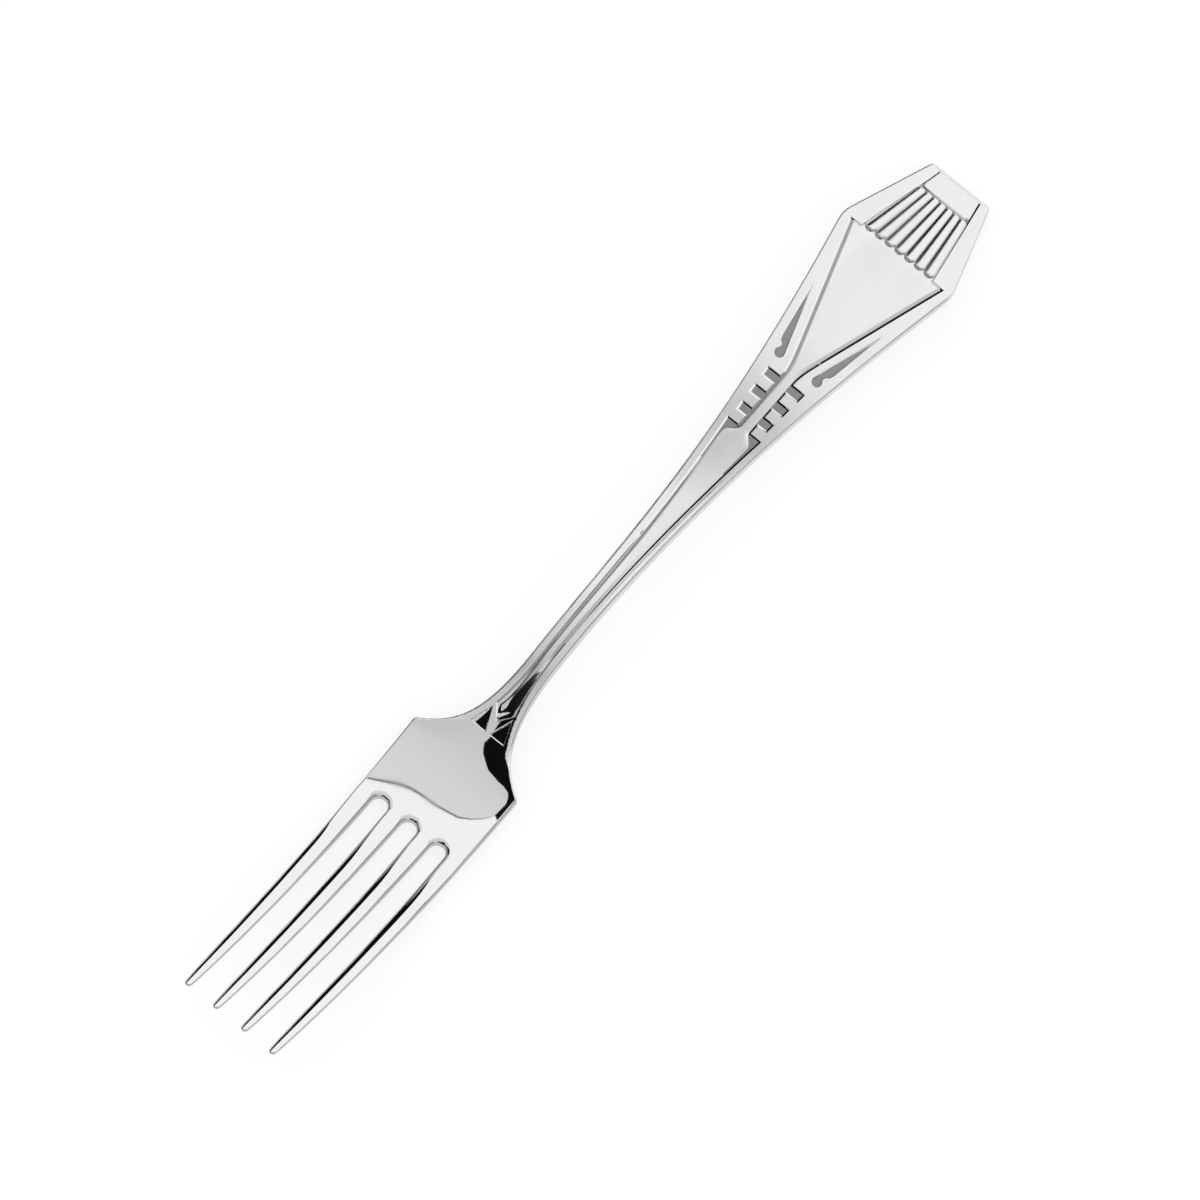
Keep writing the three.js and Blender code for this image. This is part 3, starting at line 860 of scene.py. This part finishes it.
def along_axis(tree, axis, reach, values):
    """A value that changes evenly along an axis of the object, between the two ends of the reach."""
    place = add_node(tree, "ShaderNodeTexCoord")
    axes = add_node(tree, "ShaderNodeSeparateXYZ")
    node = add_node(
        tree,
        "ShaderNodeMapRange",
        From_Min=reach[0],
        From_Max=reach[1],
        To_Min=values[0],
        To_Max=values[1],
    )
    tree.links.new(place.outputs["Object"], axes.inputs["Vector"])
    tree.links.new(axes.outputs[axis], node.inputs["Value"])
    return node.outputs["Result"]


def toned(tree, fac, colour, change):
    """A colour that a pattern darkens and lightens by a small share."""
    node = add_node(tree, "ShaderNodeMix", data_type="RGBA")
    sockets = [s for s in node.inputs if s.type == "RGBA"]
    sockets[0].default_value = (*[c * (1 - change) for c in colour], 1)
    sockets[1].default_value = (*[c * (1 + change) for c in colour], 1)
    tree.links.new(fac, node.inputs["Factor"])
    return [s for s in node.outputs if s.type == "RGBA"][0]


def bumped(tree, shader, fac, strength, distance):
    """Lets a pattern raise and lower the surface a little."""
    node = add_node(tree, "ShaderNodeBump", Strength=strength, Distance=distance)
    tree.links.new(fac, node.inputs["Height"])
    tree.links.new(node.outputs["Normal"], shader.inputs["Normal"])


def head_silver():
    """The mirror-polished silver of the tines, palm and neck."""
    roughness = bpy.context.scene.fork_finish.head_roughness
    return silver_material("mirror_silver", roughness, roughness)


def handle_silver():
    """The softer polish that the relief leaves on the handle."""
    finish = bpy.context.scene.fork_finish
    return silver_material("handle_silver", finish.head_roughness, finish.handle_roughness)


def silver_material(name, neck_roughness, roughness):
    """Polished silver with faint hairlines and a breath of tarnish, its gloss changing behind the neck."""
    if name in bpy.data.materials:
        return bpy.data.materials[name]
    finish = bpy.context.scene.fork_finish
    material, tree, shader = metal_material(name)
    tarnish = noise(tree, scale=90, detail=4)
    tree.links.new(toned(tree, tarnish, finish.silver_colour, change=0.015), shader.inputs["Base Color"])
    rubbing = noise(tree, scale=260, detail=3, stretch=(0.25, 1, 1))
    gloss = add_node(tree, "ShaderNodeMath", operation="MULTIPLY")
    tree.links.new(between(tree, rubbing, 0.75, 1.25), gloss.inputs[0])
    tree.links.new(along_axis(tree, "X", GLOSS_CHANGE, (neck_roughness, roughness)), gloss.inputs[1])
    tree.links.new(gloss.outputs["Value"], shader.inputs["Roughness"])
    hairlines = noise(tree, scale=5200, detail=2, stretch=(0.06, 1, 1))
    bumped(tree, shader, hairlines, strength=0.01, distance=0.02 * MM)
    return material


def struck_ground():
    """The matt grey ground that the die leaves in the sunk ornament."""
    name = "matt_struck_ground"
    if name in bpy.data.materials:
        return bpy.data.materials[name]
    finish = bpy.context.scene.fork_finish
    material, tree, shader = metal_material(name)
    stain = noise(tree, scale=700, detail=5)
    tree.links.new(toned(tree, stain, finish.ground_colour, change=0.12), shader.inputs["Base Color"])
    grain = noise(tree, scale=9000, detail=3)
    tree.links.new(between(tree, grain, 0.38, 0.55), shader.inputs["Roughness"])
    bumped(tree, shader, grain, strength=0.25, distance=0.02 * MM)
    return material


def relief_foot():
    """How far a raised form stays inside its sunk field: to the middle of the leaning wall."""
    return bpy.context.scene.fork_shape.relief_draft * 0.5


def rib_half(x):
    """Half the width of the rib, which fills the channel and narrows to the tail between the teeth."""
    open_half = channel_half(max(x, ORNAMENT_END)) - relief_foot()
    half = mix(open_half, CORRIDOR_HALF - relief_foot(), eased(RIB_NARROWING, TEETH_START, x))
    return half * max(share_of(RIB_POINT, ORNAMENT_END, x), RIB_POINT_SHARE)


def shield_half(x):
    """Half the width of the tail and of the shield that it widens into."""
    corner = SHIELD_HALF - relief_foot()
    curve = apex_curve(CORRIDOR_HALF - relief_foot(), corner)
    if x < curve[0].x:
        return rib_half(x)
    return height_of(curve + [Vector((KNEE, corner))], x)


def reed_pitch(x):
    """The distance between the middles of two reeds."""
    return 2 * (fan_half(x) - bpy.context.scene.fork_shape.relief_draft) / REED_COUNT


def shield_end(y):
    """The station where the shield ends: short of the rounded noses of the reeds."""
    place = y / reed_pitch(KNEE)
    if abs(place) > REED_COUNT / 2:
        return SHIELD_CORNER
    across = 2 * abs(place - round(place))
    return NOSE_START - NOSE_GAP + NOSE_LENGTH * (1 - math.sqrt(max(0.0, 1 - across**2)))


def side_band(half):
    """Width of the sloping side of a rib or shield of that half width."""
    return min(bpy.context.scene.fork_shape.side_width, SIDE_SHARE * half)


def side_fall(x, y, half):
    """How far the side of a rib or shield has fallen: bevelled, and rounded along the tail."""
    band = side_band(half)
    bevelled = ramp(abs(y) - half + band, SIDE_SOFTNESS) / band
    rounded = abs(y / half) ** mix(*ROUNDING_POWERS, eased(ROUNDING_POWER_CHANGE, TEETH_START, x))
    tail = eased(*ROUNDING, x)
    tail *= 1 - eased(TAIL_FADE_START, TAIL_FADE_END, x)
    return bpy.context.scene.fork_shape.side_drop * mix(bevelled, rounded, tail)


def stations(start, end):
    """Stations from start to end, about a step apart."""
    count = max(2, round((end - start) / RELIEF_STEP))
    return [mix(start, end, i / count) for i in range(count + 1)]


def add_relief(bm, rows, columns_of, sink_of):
    """Adds a raised form over the stations, its columns and its depth below the rims given by functions."""
    shape = bpy.context.scene.fork_shape
    last_row, last_column = len(rows) - 1, len(columns_of(rows[0])) - 1
    grid = bmesh.ops.create_grid(bm, x_segments=last_row, y_segments=last_column, size=1)
    for vert in grid["verts"]:
        x = rows[round((vert.co.x + 1) / 2 * last_row)]
        y = columns_of(x)[round((vert.co.y + 1) / 2 * last_column)]
        vert.co = Vector((x, y, -sink_of(x, y)))
    made = bmesh.ops.extrude_edge_only(bm, edges=[edge for edge in bm.edges if edge.is_boundary])
    for vert in made["geom"]:
        if isinstance(vert, bmesh.types.BMVert):
            vert.co.z = -shape.relief_depth - RELIEF_FOOTING
    bmesh.ops.contextual_create(bm, geom=[e for e in made["geom"] if isinstance(e, bmesh.types.BMEdge)])
    bmesh.ops.recalc_face_normals(bm, faces=bm.faces[:])


def even_columns(middle, half, steps):
    """Columns across a form, closer together towards its edges."""
    return [middle + half * math.sin(math.pi * (i / steps - 0.5)) for i in range(steps + 1)]


def edged_columns(half, edge, steps):
    """Columns across a form with bevelled edges: some on each bevel, and even ones between them."""
    outer = [half - edge * share for share in BEVEL_SHARES]
    inner = [mix(-outer[-1], outer[-1], i / steps) for i in range(1, steps)]
    return [-y for y in outer] + inner + outer[::-1]


def raised_panel(bm, points, top, bevel, lip):
    """A flat-topped panel that stands on the sunk floor, with sloping sides and a small round on top."""
    floor = -bpy.context.scene.fork_shape.relief_depth
    foot = floor - PANEL_FOOTING
    verts = [bm.verts.new((p.x, p.y, foot)) for p in points]
    base = bm.faces.new(verts)
    bm.normal_update()
    if base.normal.z < 0:
        bmesh.ops.reverse_faces(bm, faces=[base])
    made = bmesh.ops.extrude_face_region(bm, geom=[base], use_keep_orig=True)
    upper = [f for f in made["geom"] if isinstance(f, bmesh.types.BMFace)]
    bmesh.ops.recalc_face_normals(bm, faces=bm.faces[:])
    for vert in upper[0].verts:
        vert.co.z += PANEL_FOOTING
    bm.normal_update()
    inset(bm, upper, bevel, top - floor)
    bmesh.ops.recalc_face_normals(bm, faces=bm.faces[:])
    round_off(bm, list(upper[0].edges), lip, PANEL_LIP_SEGMENTS)


# What settings of one kind have in common
SMALL_LENGTH = {"precision": 5, "subtype": "DISTANCE", "unit": "LENGTH"}
SHARE = {"subtype": "FACTOR", "min": 0, "max": 1}
COLOUR = {"subtype": "COLOR", "min": 0, "max": 1}


class FORK_PG_shape(bpy.types.PropertyGroup):
    """Sizes of the fork's edges and relief."""

    edge_radius: FloatProperty(
        name="Edge Radius",
        description="Rounding of the upper edge all round the fork",
        default=0.38 * MM,
        **SMALL_LENGTH,
    )
    back_radius: FloatProperty(
        name="Back Radius",
        description="Rounding of the lower edge all round the fork",
        default=0.4 * MM,
        **SMALL_LENGTH,
    )
    shoulder_radius: FloatProperty(
        name="Shoulder Radius",
        description="Rounding of the shoulders and of the end corners, seen from above",
        default=0.45 * MM,
        **SMALL_LENGTH,
    )
    knee_radius: FloatProperty(
        name="Knee Radius",
        description="Length of the rounding on each side of the widest corner, seen from above",
        default=1.3 * MM,
        **SMALL_LENGTH,
    )
    relief_depth: FloatProperty(
        name="Relief Depth",
        description="Depth of the sunk ornament",
        default=0.21 * MM,
        **SMALL_LENGTH,
    )
    relief_draft: FloatProperty(
        name="Relief Draft",
        description="How far the walls of the sunk ornament lean",
        default=0.32 * MM,
        **SMALL_LENGTH,
    )
    pocket_depth: FloatProperty(
        name="Pocket Depth",
        description="Depth of the drops and of the pockets in the cross",
        default=0.25 * MM,
        **SMALL_LENGTH,
    )
    pocket_draft: FloatProperty(
        name="Pocket Draft",
        description="How far the walls of the drops and pockets lean",
        default=0.14 * MM,
        **SMALL_LENGTH,
    )
    side_width: FloatProperty(
        name="Side Width",
        description="Width of the sloping sides of the rib and the shield",
        default=0.82 * MM,
        **SMALL_LENGTH,
    )
    side_drop: FloatProperty(
        name="Side Drop",
        description="How far the sides of the rib and the shield slope down, partly under the sunk field",
        default=0.3 * MM,
        **SMALL_LENGTH,
    )
    lip_radius: FloatProperty(
        name="Lip Radius",
        description="Rounding of the upper edge of the sunk ornament",
        default=0.07 * MM,
        **SMALL_LENGTH,
    )
    rib_sink: FloatProperty(
        name="Rib Sink",
        description="How far the crest of the rib lies below the rims",
        default=0.02 * MM,
        **SMALL_LENGTH,
    )


class FORK_PG_finish(bpy.types.PropertyGroup):
    """Colours and gloss of the silver."""

    silver_colour: FloatVectorProperty(
        name="Silver",
        description="Colour of the polished silver",
        default=(0.87, 0.872, 0.87),
        **COLOUR,
    )
    head_roughness: FloatProperty(
        name="Head Roughness",
        description="Blur of the reflections in the tines, the palm and the neck",
        default=0.03,
        **SHARE,
    )
    handle_roughness: FloatProperty(
        name="Handle Roughness",
        description="Blur of the reflections in the stem and the struck end of the handle",
        default=0.27,
        **SHARE,
    )
    ground_colour: FloatVectorProperty(
        name="Struck Ground",
        description="Colour of the matt ground in the sunk ornament",
        default=(0.36, 0.36, 0.36),
        **COLOUR,
    )


class FORK_PG_stage(bpy.types.PropertyGroup):
    """The floor, the cards that the silver mirrors, and the camera."""

    floor_colour: FloatVectorProperty(
        name="Floor",
        description="Colour of the floor",
        default=(0.3, 0.3, 0.3),
        **COLOUR,
    )
    grey_card: FloatProperty(
        name="Grey Card",
        description="Brightness of the card over the tines, which greys the palm",
        default=0.765,
        **SHARE,
    )
    dark_card: FloatProperty(
        name="Dark Card",
        description="Brightness of the dark cards, which draw the black lines and flanks",
        default=0.004,
        **SHARE,
    )
    camera_distance: FloatProperty(
        name="Camera Distance",
        description="From the middle of the fork to the camera",
        default=3.0,
        subtype="DISTANCE",
        unit="LENGTH",
    )
    camera_azimuth: FloatProperty(
        name="Camera Azimuth",
        description="Direction of the camera about the vertical, from the handle's end",
        default=math.radians(-140.27),
        subtype="ANGLE",
        unit="ROTATION",
    )
    camera_elevation: FloatProperty(
        name="Camera Elevation",
        description="Height of the camera above the horizon",
        default=math.radians(75.37),
        subtype="ANGLE",
        unit="ROTATION",
    )
    camera_lens: FloatProperty(
        name="Camera Lens",
        description="Focal length in millimetres",
        default=572.75,
        min=1,
        subtype="DISTANCE_CAMERA",
        unit="CAMERA",
    )


class FORK_OT_add_tines(bpy.types.Operator):
    """Cut the four tines from the blank and sweep them up towards their tips"""

    bl_idname = "fork.add_tines"
    bl_label = "Add Tines"

    def execute(self, context):
        for tine in range(TINE_COUNT):
            middle = tine_middle(tine, TINE_JOINT)
            reach = ROOT_PITCH / 2 + SNAP * 2
            bm = section(TIPS - MM, TINE_JOINT, middle - reach, middle + reach)
            slice_up(bm, width=STRIP_WIDTH)
            finish_piece(bm, f"polished_tine_{tine + 1}", f"tine_{tine + 1}")
        return {"FINISHED"}


class FORK_OT_add_palm(bpy.types.Operator):
    """Cut the dished palm with its round-ended slots and sharp shoulders"""

    bl_idname = "fork.add_palm"
    bl_label = "Add Palm"

    def execute(self, context):
        bm = section(TINE_JOINT, NECK_START)
        slice_up(bm, FINE_STEP, FINE_STEP)
        finish_piece(bm, "dished_palm", "palm")
        return {"FINISHED"}


class FORK_OT_add_neck(bpy.types.Operator):
    """Cut the neck with the two crossed bars"""

    bl_idname = "fork.add_neck"
    bl_label = "Add Neck"

    def execute(self, context):
        bm = section(NECK_START, STEM_START)
        slice_up(bm, FINE_STEP, FINE_STEP)
        for face in bm.faces:
            face.material_index = SILVER
        finish_piece(bm, "crossed_neck", "neck")
        return {"FINISHED"}


class FORK_OT_add_stem(bpy.types.Operator):
    """Cut the slim stem with its channel between two rims"""

    bl_idname = "fork.add_stem"
    bl_label = "Add Stem"

    def execute(self, context):
        bm = section(STEM_START, TEETH_START)
        slice_up(bm, width=STRIP_WIDTH)
        for face in bm.faces:
            if face.material_index == GROUND and face.calc_center_median().x < GROUND_START:
                face.material_index = SILVER
        finish_piece(bm, "rimmed_stem", "stem", satin=True)
        return {"FINISHED"}


class FORK_OT_add_terminal(bpy.types.Operator):
    """Cut the kite-shaped end of the handle with its teeth, squares and drops"""

    bl_idname = "fork.add_terminal"
    bl_label = "Add Terminal"

    def execute(self, context):
        bm = section(TEETH_START, HANDLE_END + MM)
        slice_up(bm)
        finish_piece(bm, "kite_terminal", "terminal", satin=True)
        return {"FINISHED"}


class FORK_OT_add_stem_rib(bpy.types.Operator):
    """Lay the rounded rib into the channel of the stem"""

    bl_idname = "fork.add_stem_rib"
    bl_label = "Add Stem Rib"

    def execute(self, context):
        shape = context.scene.fork_shape

        def columns(x):
            half = rib_half(x)
            return edged_columns(half, side_band(half), RIB_COLUMNS)

        def sink(x, y):
            half = rib_half(x)
            reach = mix(HOLLOW_START_WIDTH, HOLLOW_END_WIDTH, eased(*HOLLOW_NARROWING, x))
            hollow = HOLLOW_DEPTH_SHARE * reach * (1 - max(0.0, 1 - (y + half) / reach) ** 2)
            hollow *= 1 - eased(*HOLLOW_FADE, x)
            start = SIDE_START_PLUS if y > 0 else SIDE_START_MINUS
            falling = eased(start, start + SIDE_START_LENGTH, x)
            return shape.rib_sink + hollow + side_fall(x, y, half) * falling

        bm = bmesh.new()
        add_relief(bm, stations(RIB_START, TEETH_START), columns, sink)
        finish_piece(bm, "rounded_rib", "stem_rib", satin=True)
        return {"FINISHED"}


class FORK_OT_add_shield(bpy.types.Operator):
    """Lay the plain shield and its tail into the sunk field"""

    bl_idname = "fork.add_shield"
    bl_label = "Add Shield"

    def execute(self, context):
        shape = context.scene.fork_shape

        def columns(x):
            half = shield_half(x)
            return edged_columns(half, side_band(half), SHIELD_COLUMNS)

        def sink(x, y):
            return shape.rib_sink + side_fall(x, y, shield_half(x))

        bm = bmesh.new()
        add_relief(bm, stations(TEETH_START, SHIELD_REACH), columns, sink)
        for vert in bm.verts:
            shift = shield_end(vert.co.y) - SHIELD_REACH
            vert.co.x += shift * share_of(SHIELD_STRETCH, SHIELD_REACH, vert.co.x)
        finish_piece(bm, "plain_shield", "shield", satin=True)
        return {"FINISHED"}


class FORK_OT_add_reeds(bpy.types.Operator):
    """Lay the fan of half-round reeds above the shield"""

    bl_idname = "fork.add_reeds"
    bl_label = "Add Reeds"

    def execute(self, context):
        shape = context.scene.fork_shape
        nose_end = NOSE_START + NOSE_LENGTH
        heel_start = TABLET_START - HEEL_LENGTH
        nose_drop = REED_CREST + shape.relief_depth + NOSE_DIP
        turns = [math.cos(math.pi / 2 * i / NOSE_ROWS) for i in range(NOSE_ROWS)]
        rows = [NOSE_START + NOSE_LENGTH * (1 - turn) for turn in turns]
        rows += stations(nose_end, heel_start)
        turns = [math.cos(math.pi / 2 * i / HEEL_ROWS) for i in range(1, HEEL_ROWS + 1)]
        rows += [TABLET_START - HEEL_LENGTH * turn for turn in turns]

        def end_share(x):
            return max(1 - share_of(NOSE_START, nose_end, x), share_of(heel_start, TABLET_START, x))

        def reed_half(x):
            pitch, tip = reed_pitch(x), end_share(x)
            return (pitch / 2 - REED_CLEARANCE) * math.sqrt(max(1 - tip * tip, REED_END_SHARE**2)), pitch

        for reed in range(REED_COUNT):
            place = reed - (REED_COUNT - 1) / 2

            def columns(x):
                half, pitch = reed_half(x)
                return even_columns(place * pitch, half, REED_COLUMNS)

            def sink(x, y):
                half, pitch = reed_half(x)
                across = abs(y - place * pitch) / half
                round_drop = REED_ROUNDNESS * pitch * across**REED_POWER
                return max(round_drop, nose_drop * end_share(x) ** 3) - REED_CREST

            bm = bmesh.new()
            add_relief(bm, rows, columns, sink)
            finish_piece(bm, f"half_round_reed_{reed + 1}", f"reed_{reed + 1}", satin=True)
        return {"FINISHED"}


class FORK_OT_add_end_tablet(bpy.types.Operator):
    """Lay the plain tablet between the reeds and the end edge"""

    bl_idname = "fork.add_end_tablet"
    bl_label = "Add End Tablet"

    def execute(self, context):
        bm = bmesh.new()
        start = TABLET_START
        side_start = start + TABLET_CHAMFER
        end = fan_end() + TABLET_TUCK
        gap = context.scene.fork_shape.relief_draft
        half = [
            Vector((start, fan_half(start) - gap - TABLET_CHAMFER)),
            Vector((side_start, fan_half(side_start) - gap)),
            Vector((end, fan_half(end) - gap)),
        ]
        raised_panel(bm, half + opposite(half), 0, TABLET_BEVEL, TABLET_LIP)
        slice_up(bm)
        finish_piece(bm, "plain_tablet", "end_tablet", satin=True)
        return {"FINISHED"}


def stage_plane(name, corners, material):
    """A flat sheet of the stage."""
    bm = bmesh.new()
    bm.faces.new([bm.verts.new(corner) for corner in corners])
    mesh = bpy.data.meshes.new(name)
    bm.to_mesh(mesh)
    bm.free()
    mesh.materials.append(material)
    sheet = bpy.data.objects.new(name, mesh)
    bpy.context.scene.collection.objects.link(sheet)
    return sheet


def seen_and_mirrored(tree):
    """1 for rays that the camera sees, in mirrors and glass too, and 0 for rays that carry light."""
    path = add_node(tree, "ShaderNodeLightPath")
    total = path.outputs["Is Camera Ray"]
    for name in ("Is Glossy Ray", "Is Transmission Ray"):
        added = add_node(tree, "ShaderNodeMath", operation="ADD", use_clamp=True)
        tree.links.new(total, added.inputs[0])
        tree.links.new(path.outputs[name], added.inputs[1])
        total = added.outputs[0]
    return total


def floor_material(colour, glow):
    """A pale floor that keeps the fork's shadow and still reads as white."""
    material = bpy.data.materials.new("pale_floor")
    tree = empty_tree(material)
    paper = add_node(tree, "ShaderNodeBsdfDiffuse", Color=(*colour, 1))
    shine = add_node(tree, "ShaderNodeEmission")
    strength = add_node(tree, "ShaderNodeMath", operation="MULTIPLY")
    strength.inputs[1].default_value = glow
    both = add_node(tree, "ShaderNodeAddShader")
    output = add_node(tree, "ShaderNodeOutputMaterial")
    tree.links.new(seen_and_mirrored(tree), strength.inputs[0])
    tree.links.new(strength.outputs[0], shine.inputs["Strength"])
    tree.links.new(paper.outputs[0], both.inputs[0])
    tree.links.new(shine.outputs[0], both.inputs[1])
    tree.links.new(both.outputs[0], output.inputs["Surface"])
    return material


def card_material(name, levels, axis, reach):
    """A card that only reflections show, whose brightness changes evenly along an axis."""
    material = bpy.data.materials.new(name)
    tree = empty_tree(material)
    shine = add_node(tree, "ShaderNodeEmission")
    output = add_node(tree, "ShaderNodeOutputMaterial")
    tree.links.new(along_axis(tree, axis, reach, levels), shine.inputs["Strength"])
    tree.links.new(shine.outputs[0], output.inputs["Surface"])
    return material


def add_card(name, corners, levels, axis="Z", reach=(0, 1)):
    """A card that only the silver's reflections show."""
    card = stage_plane(name, corners, card_material(name, levels, axis, reach))
    card.visible_camera = False
    card.visible_diffuse = False
    card.visible_shadow = False


def overhead(height, *places):
    """Corners of a level card at a height, given by the slopes along X and Y at which the fork sees them."""
    return [(x * height, y * height, height) for x, y in places]


def level_square(reach, height):
    """Corners of a level square about the middle of the fork."""
    return [(x * reach, y * reach, height) for x, y in ((-1, -1), (1, -1), (1, 1), (-1, 1))]


def upright(start, end, height):
    """Corners of a card that stands on the floor between two (x, y) places."""
    return [(*start, 0), (*end, 0), (*end, height), (*start, height)]


def add_world():
    """A plain white surround."""
    world = bpy.data.worlds.new("white_surround")
    tree = empty_tree(world)
    shine = add_node(tree, "ShaderNodeBackground", Color=(1, 1, 1, 1), Strength=1)
    output = add_node(tree, "ShaderNodeOutputWorld")
    tree.links.new(shine.outputs[0], output.inputs["Surface"])
    bpy.context.scene.world = world


def add_camera(stage):
    """The camera at the photograph's place."""
    data = bpy.data.cameras.new("camera")
    data.lens = stage.camera_lens
    data.sensor_width = 36
    data.clip_start = 0.01
    data.clip_end = 50
    camera = bpy.data.objects.new("camera", data)
    level = math.cos(stage.camera_elevation)
    direction = Vector((
        level * math.cos(stage.camera_azimuth),
        level * math.sin(stage.camera_azimuth),
        math.sin(stage.camera_elevation),
    ))
    target = Vector((0.59 * MM, 0, 5 * MM))
    camera.location = target + direction * stage.camera_distance
    camera.rotation_euler = (-direction).to_track_quat("-Z", "Y").to_euler()
    bpy.context.scene.collection.objects.link(camera)
    bpy.context.scene.camera = camera


# Floor and cards: an overhead card's corners are the slopes along X and Y at which the fork sees them
FLOOR_LEVEL = -0.02 * MM
FLOOR_GLOW = 0.72
GREY_HEIGHT = 6.0
GREY_FALL = 0.15
GREY_EDGE = (
    (0.18, -2),
    (0.15, 0),
    (0.149, 0.17),
    (0.138, 0.307),
    (0.12, 0.39),
    (0.095, 0.468),
    (0.07, 0.515),
    (0.04, 0.552),
)
STRIP_HEIGHT = 5.99
STRIP_HALF = 0.002
FLAG_HEIGHT = 1.0
FLAG_CORNERS = (
    (-1.5, 0.21),
    (-0.39, 0.21),
    (-0.35, 0.19),
    (-0.3, 0.22),
    (-0.27, 0.31),
    (-0.33, 0.44),
    (-0.4, 0.54),
    (-0.4, 0.6),
    (-0.134, 0.578),
    (0.01, 0.543),
    (0.06, 0.72),
    (0.06, 1.05),
    (-1.5, 1.05),
)
TEETH_CARD = ((0.045, -0.05), (0.061, -0.05), (0.061, 0.03), (0.045, 0.03))
TEETH_CARD_HEIGHT = 0.06


class FORK_OT_add_stage(bpy.types.Operator):
    """Lay the floor, hang the cards that the silver mirrors, and set the camera"""

    bl_idname = "fork.add_stage"
    bl_label = "Add Stage"

    def execute(self, context):
        stage = context.scene.fork_stage
        context.scene.view_settings.view_transform = "Standard"
        stage_plane("floor", level_square(8.0, FLOOR_LEVEL), floor_material(stage.floor_colour, FLOOR_GLOW))
        dark = (stage.dark_card, stage.dark_card)
        grey = overhead(GREY_HEIGHT, (-4, -2), *GREY_EDGE, (0.04, 2), (-4, 2))
        add_card("grey_card", grey, (stage.grey_card, stage.grey_card - GREY_FALL), "X", (1.0, -2.6))
        strip = [(x - STRIP_HALF, y) for x, y in GREY_EDGE]
        strip += [(x + STRIP_HALF, y) for x, y in reversed(GREY_EDGE)]
        add_card("dark_strip", overhead(STRIP_HEIGHT, *strip), dark)
        add_card("dark_flag", overhead(FLAG_HEIGHT, *FLAG_CORNERS), dark)
        add_card("left_wall", upright((-3.0, 2.0), (0.84, 2.0), 3.3), (0.3, 0.85), "Z", (1.2, 3.3))
        add_card("skirting", upright((-3.0, 1.99), (0.84, 1.99), 0.9), dark)
        add_card("dark_wall", upright((0.84, 2.0), (4.2, 2.0), 3.0), dark)
        add_card("dark_end", upright((-2.5, -1.0), (-2.5, 1.2), 3.2), dark)
        add_card("right_wall", upright((-1.5, -2.0), (0.9, -2.0), 4.4), (0.3, 0.62), "Z", (1.2, 4.4))
        # A grey sheet just above the floor that only reflections show: the silver's lower edges mirror it as
        # painted shade on the floor beside the fork, darker beside the tines, while the camera sees that
        # floor white
        add_card("grey_sheet", level_square(0.6, FLOOR_LEVEL / 2), (0.54, 0.78), "X", (-0.04, 0.0))
        # A grey card hung a few centimetres above the teeth that only reflections show: it paints a grey
        # reflection onto the tail beside the teeth
        add_card("teeth_card", [(x, y, TEETH_CARD_HEIGHT) for x, y in TEETH_CARD], (0.55, 0.55))
        add_world()
        add_camera(stage)
        return {"FINISHED"}


class FORK_PT_sidebar(bpy.types.Panel):
    """Lists the fork's pieces and the sizes and colours that can be changed"""

    bl_idname = "FORK_PT_sidebar"
    bl_label = "Dessert Fork"
    bl_space_type = "VIEW_3D"
    bl_region_type = "UI"
    bl_category = "Fork"

    def draw(self, context):
        column = self.layout.column()
        for group in (context.scene.fork_shape, context.scene.fork_finish, context.scene.fork_stage):
            for name in group.__annotations__:
                column.prop(group, name)
        for operator in OPERATORS:
            column.operator(operator.bl_idname)


OPERATORS = (
    FORK_OT_add_stage,
    FORK_OT_add_tines,
    FORK_OT_add_palm,
    FORK_OT_add_neck,
    FORK_OT_add_stem,
    FORK_OT_add_terminal,
    FORK_OT_add_stem_rib,
    FORK_OT_add_shield,
    FORK_OT_add_reeds,
    FORK_OT_add_end_tablet,
)
GROUPS = (FORK_PG_shape, FORK_PG_finish, FORK_PG_stage)


def register():
    """Registers the classes and hangs the settings on the scene."""
    for cls in GROUPS + OPERATORS + (FORK_PT_sidebar,):
        bpy.utils.register_class(cls)
    bpy.types.Scene.fork_shape = PointerProperty(type=FORK_PG_shape)
    bpy.types.Scene.fork_finish = PointerProperty(type=FORK_PG_finish)
    bpy.types.Scene.fork_stage = PointerProperty(type=FORK_PG_stage)


def unregister():
    """Takes the settings off the scene and unregisters the classes."""
    del bpy.types.Scene.fork_stage
    del bpy.types.Scene.fork_finish
    del bpy.types.Scene.fork_shape
    for cls in reversed(GROUPS + OPERATORS + (FORK_PT_sidebar,)):
        bpy.utils.unregister_class(cls)


def main():
    """Builds the stage and every piece."""
    register()
    bpy.ops.fork.add_stage()
    bpy.ops.fork.add_tines()
    bpy.ops.fork.add_palm()
    bpy.ops.fork.add_neck()
    bpy.ops.fork.add_stem()
    bpy.ops.fork.add_terminal()
    bpy.ops.fork.add_stem_rib()
    bpy.ops.fork.add_shield()
    bpy.ops.fork.add_reeds()
    bpy.ops.fork.add_end_tablet()


if __name__ == "__main__":
    main()
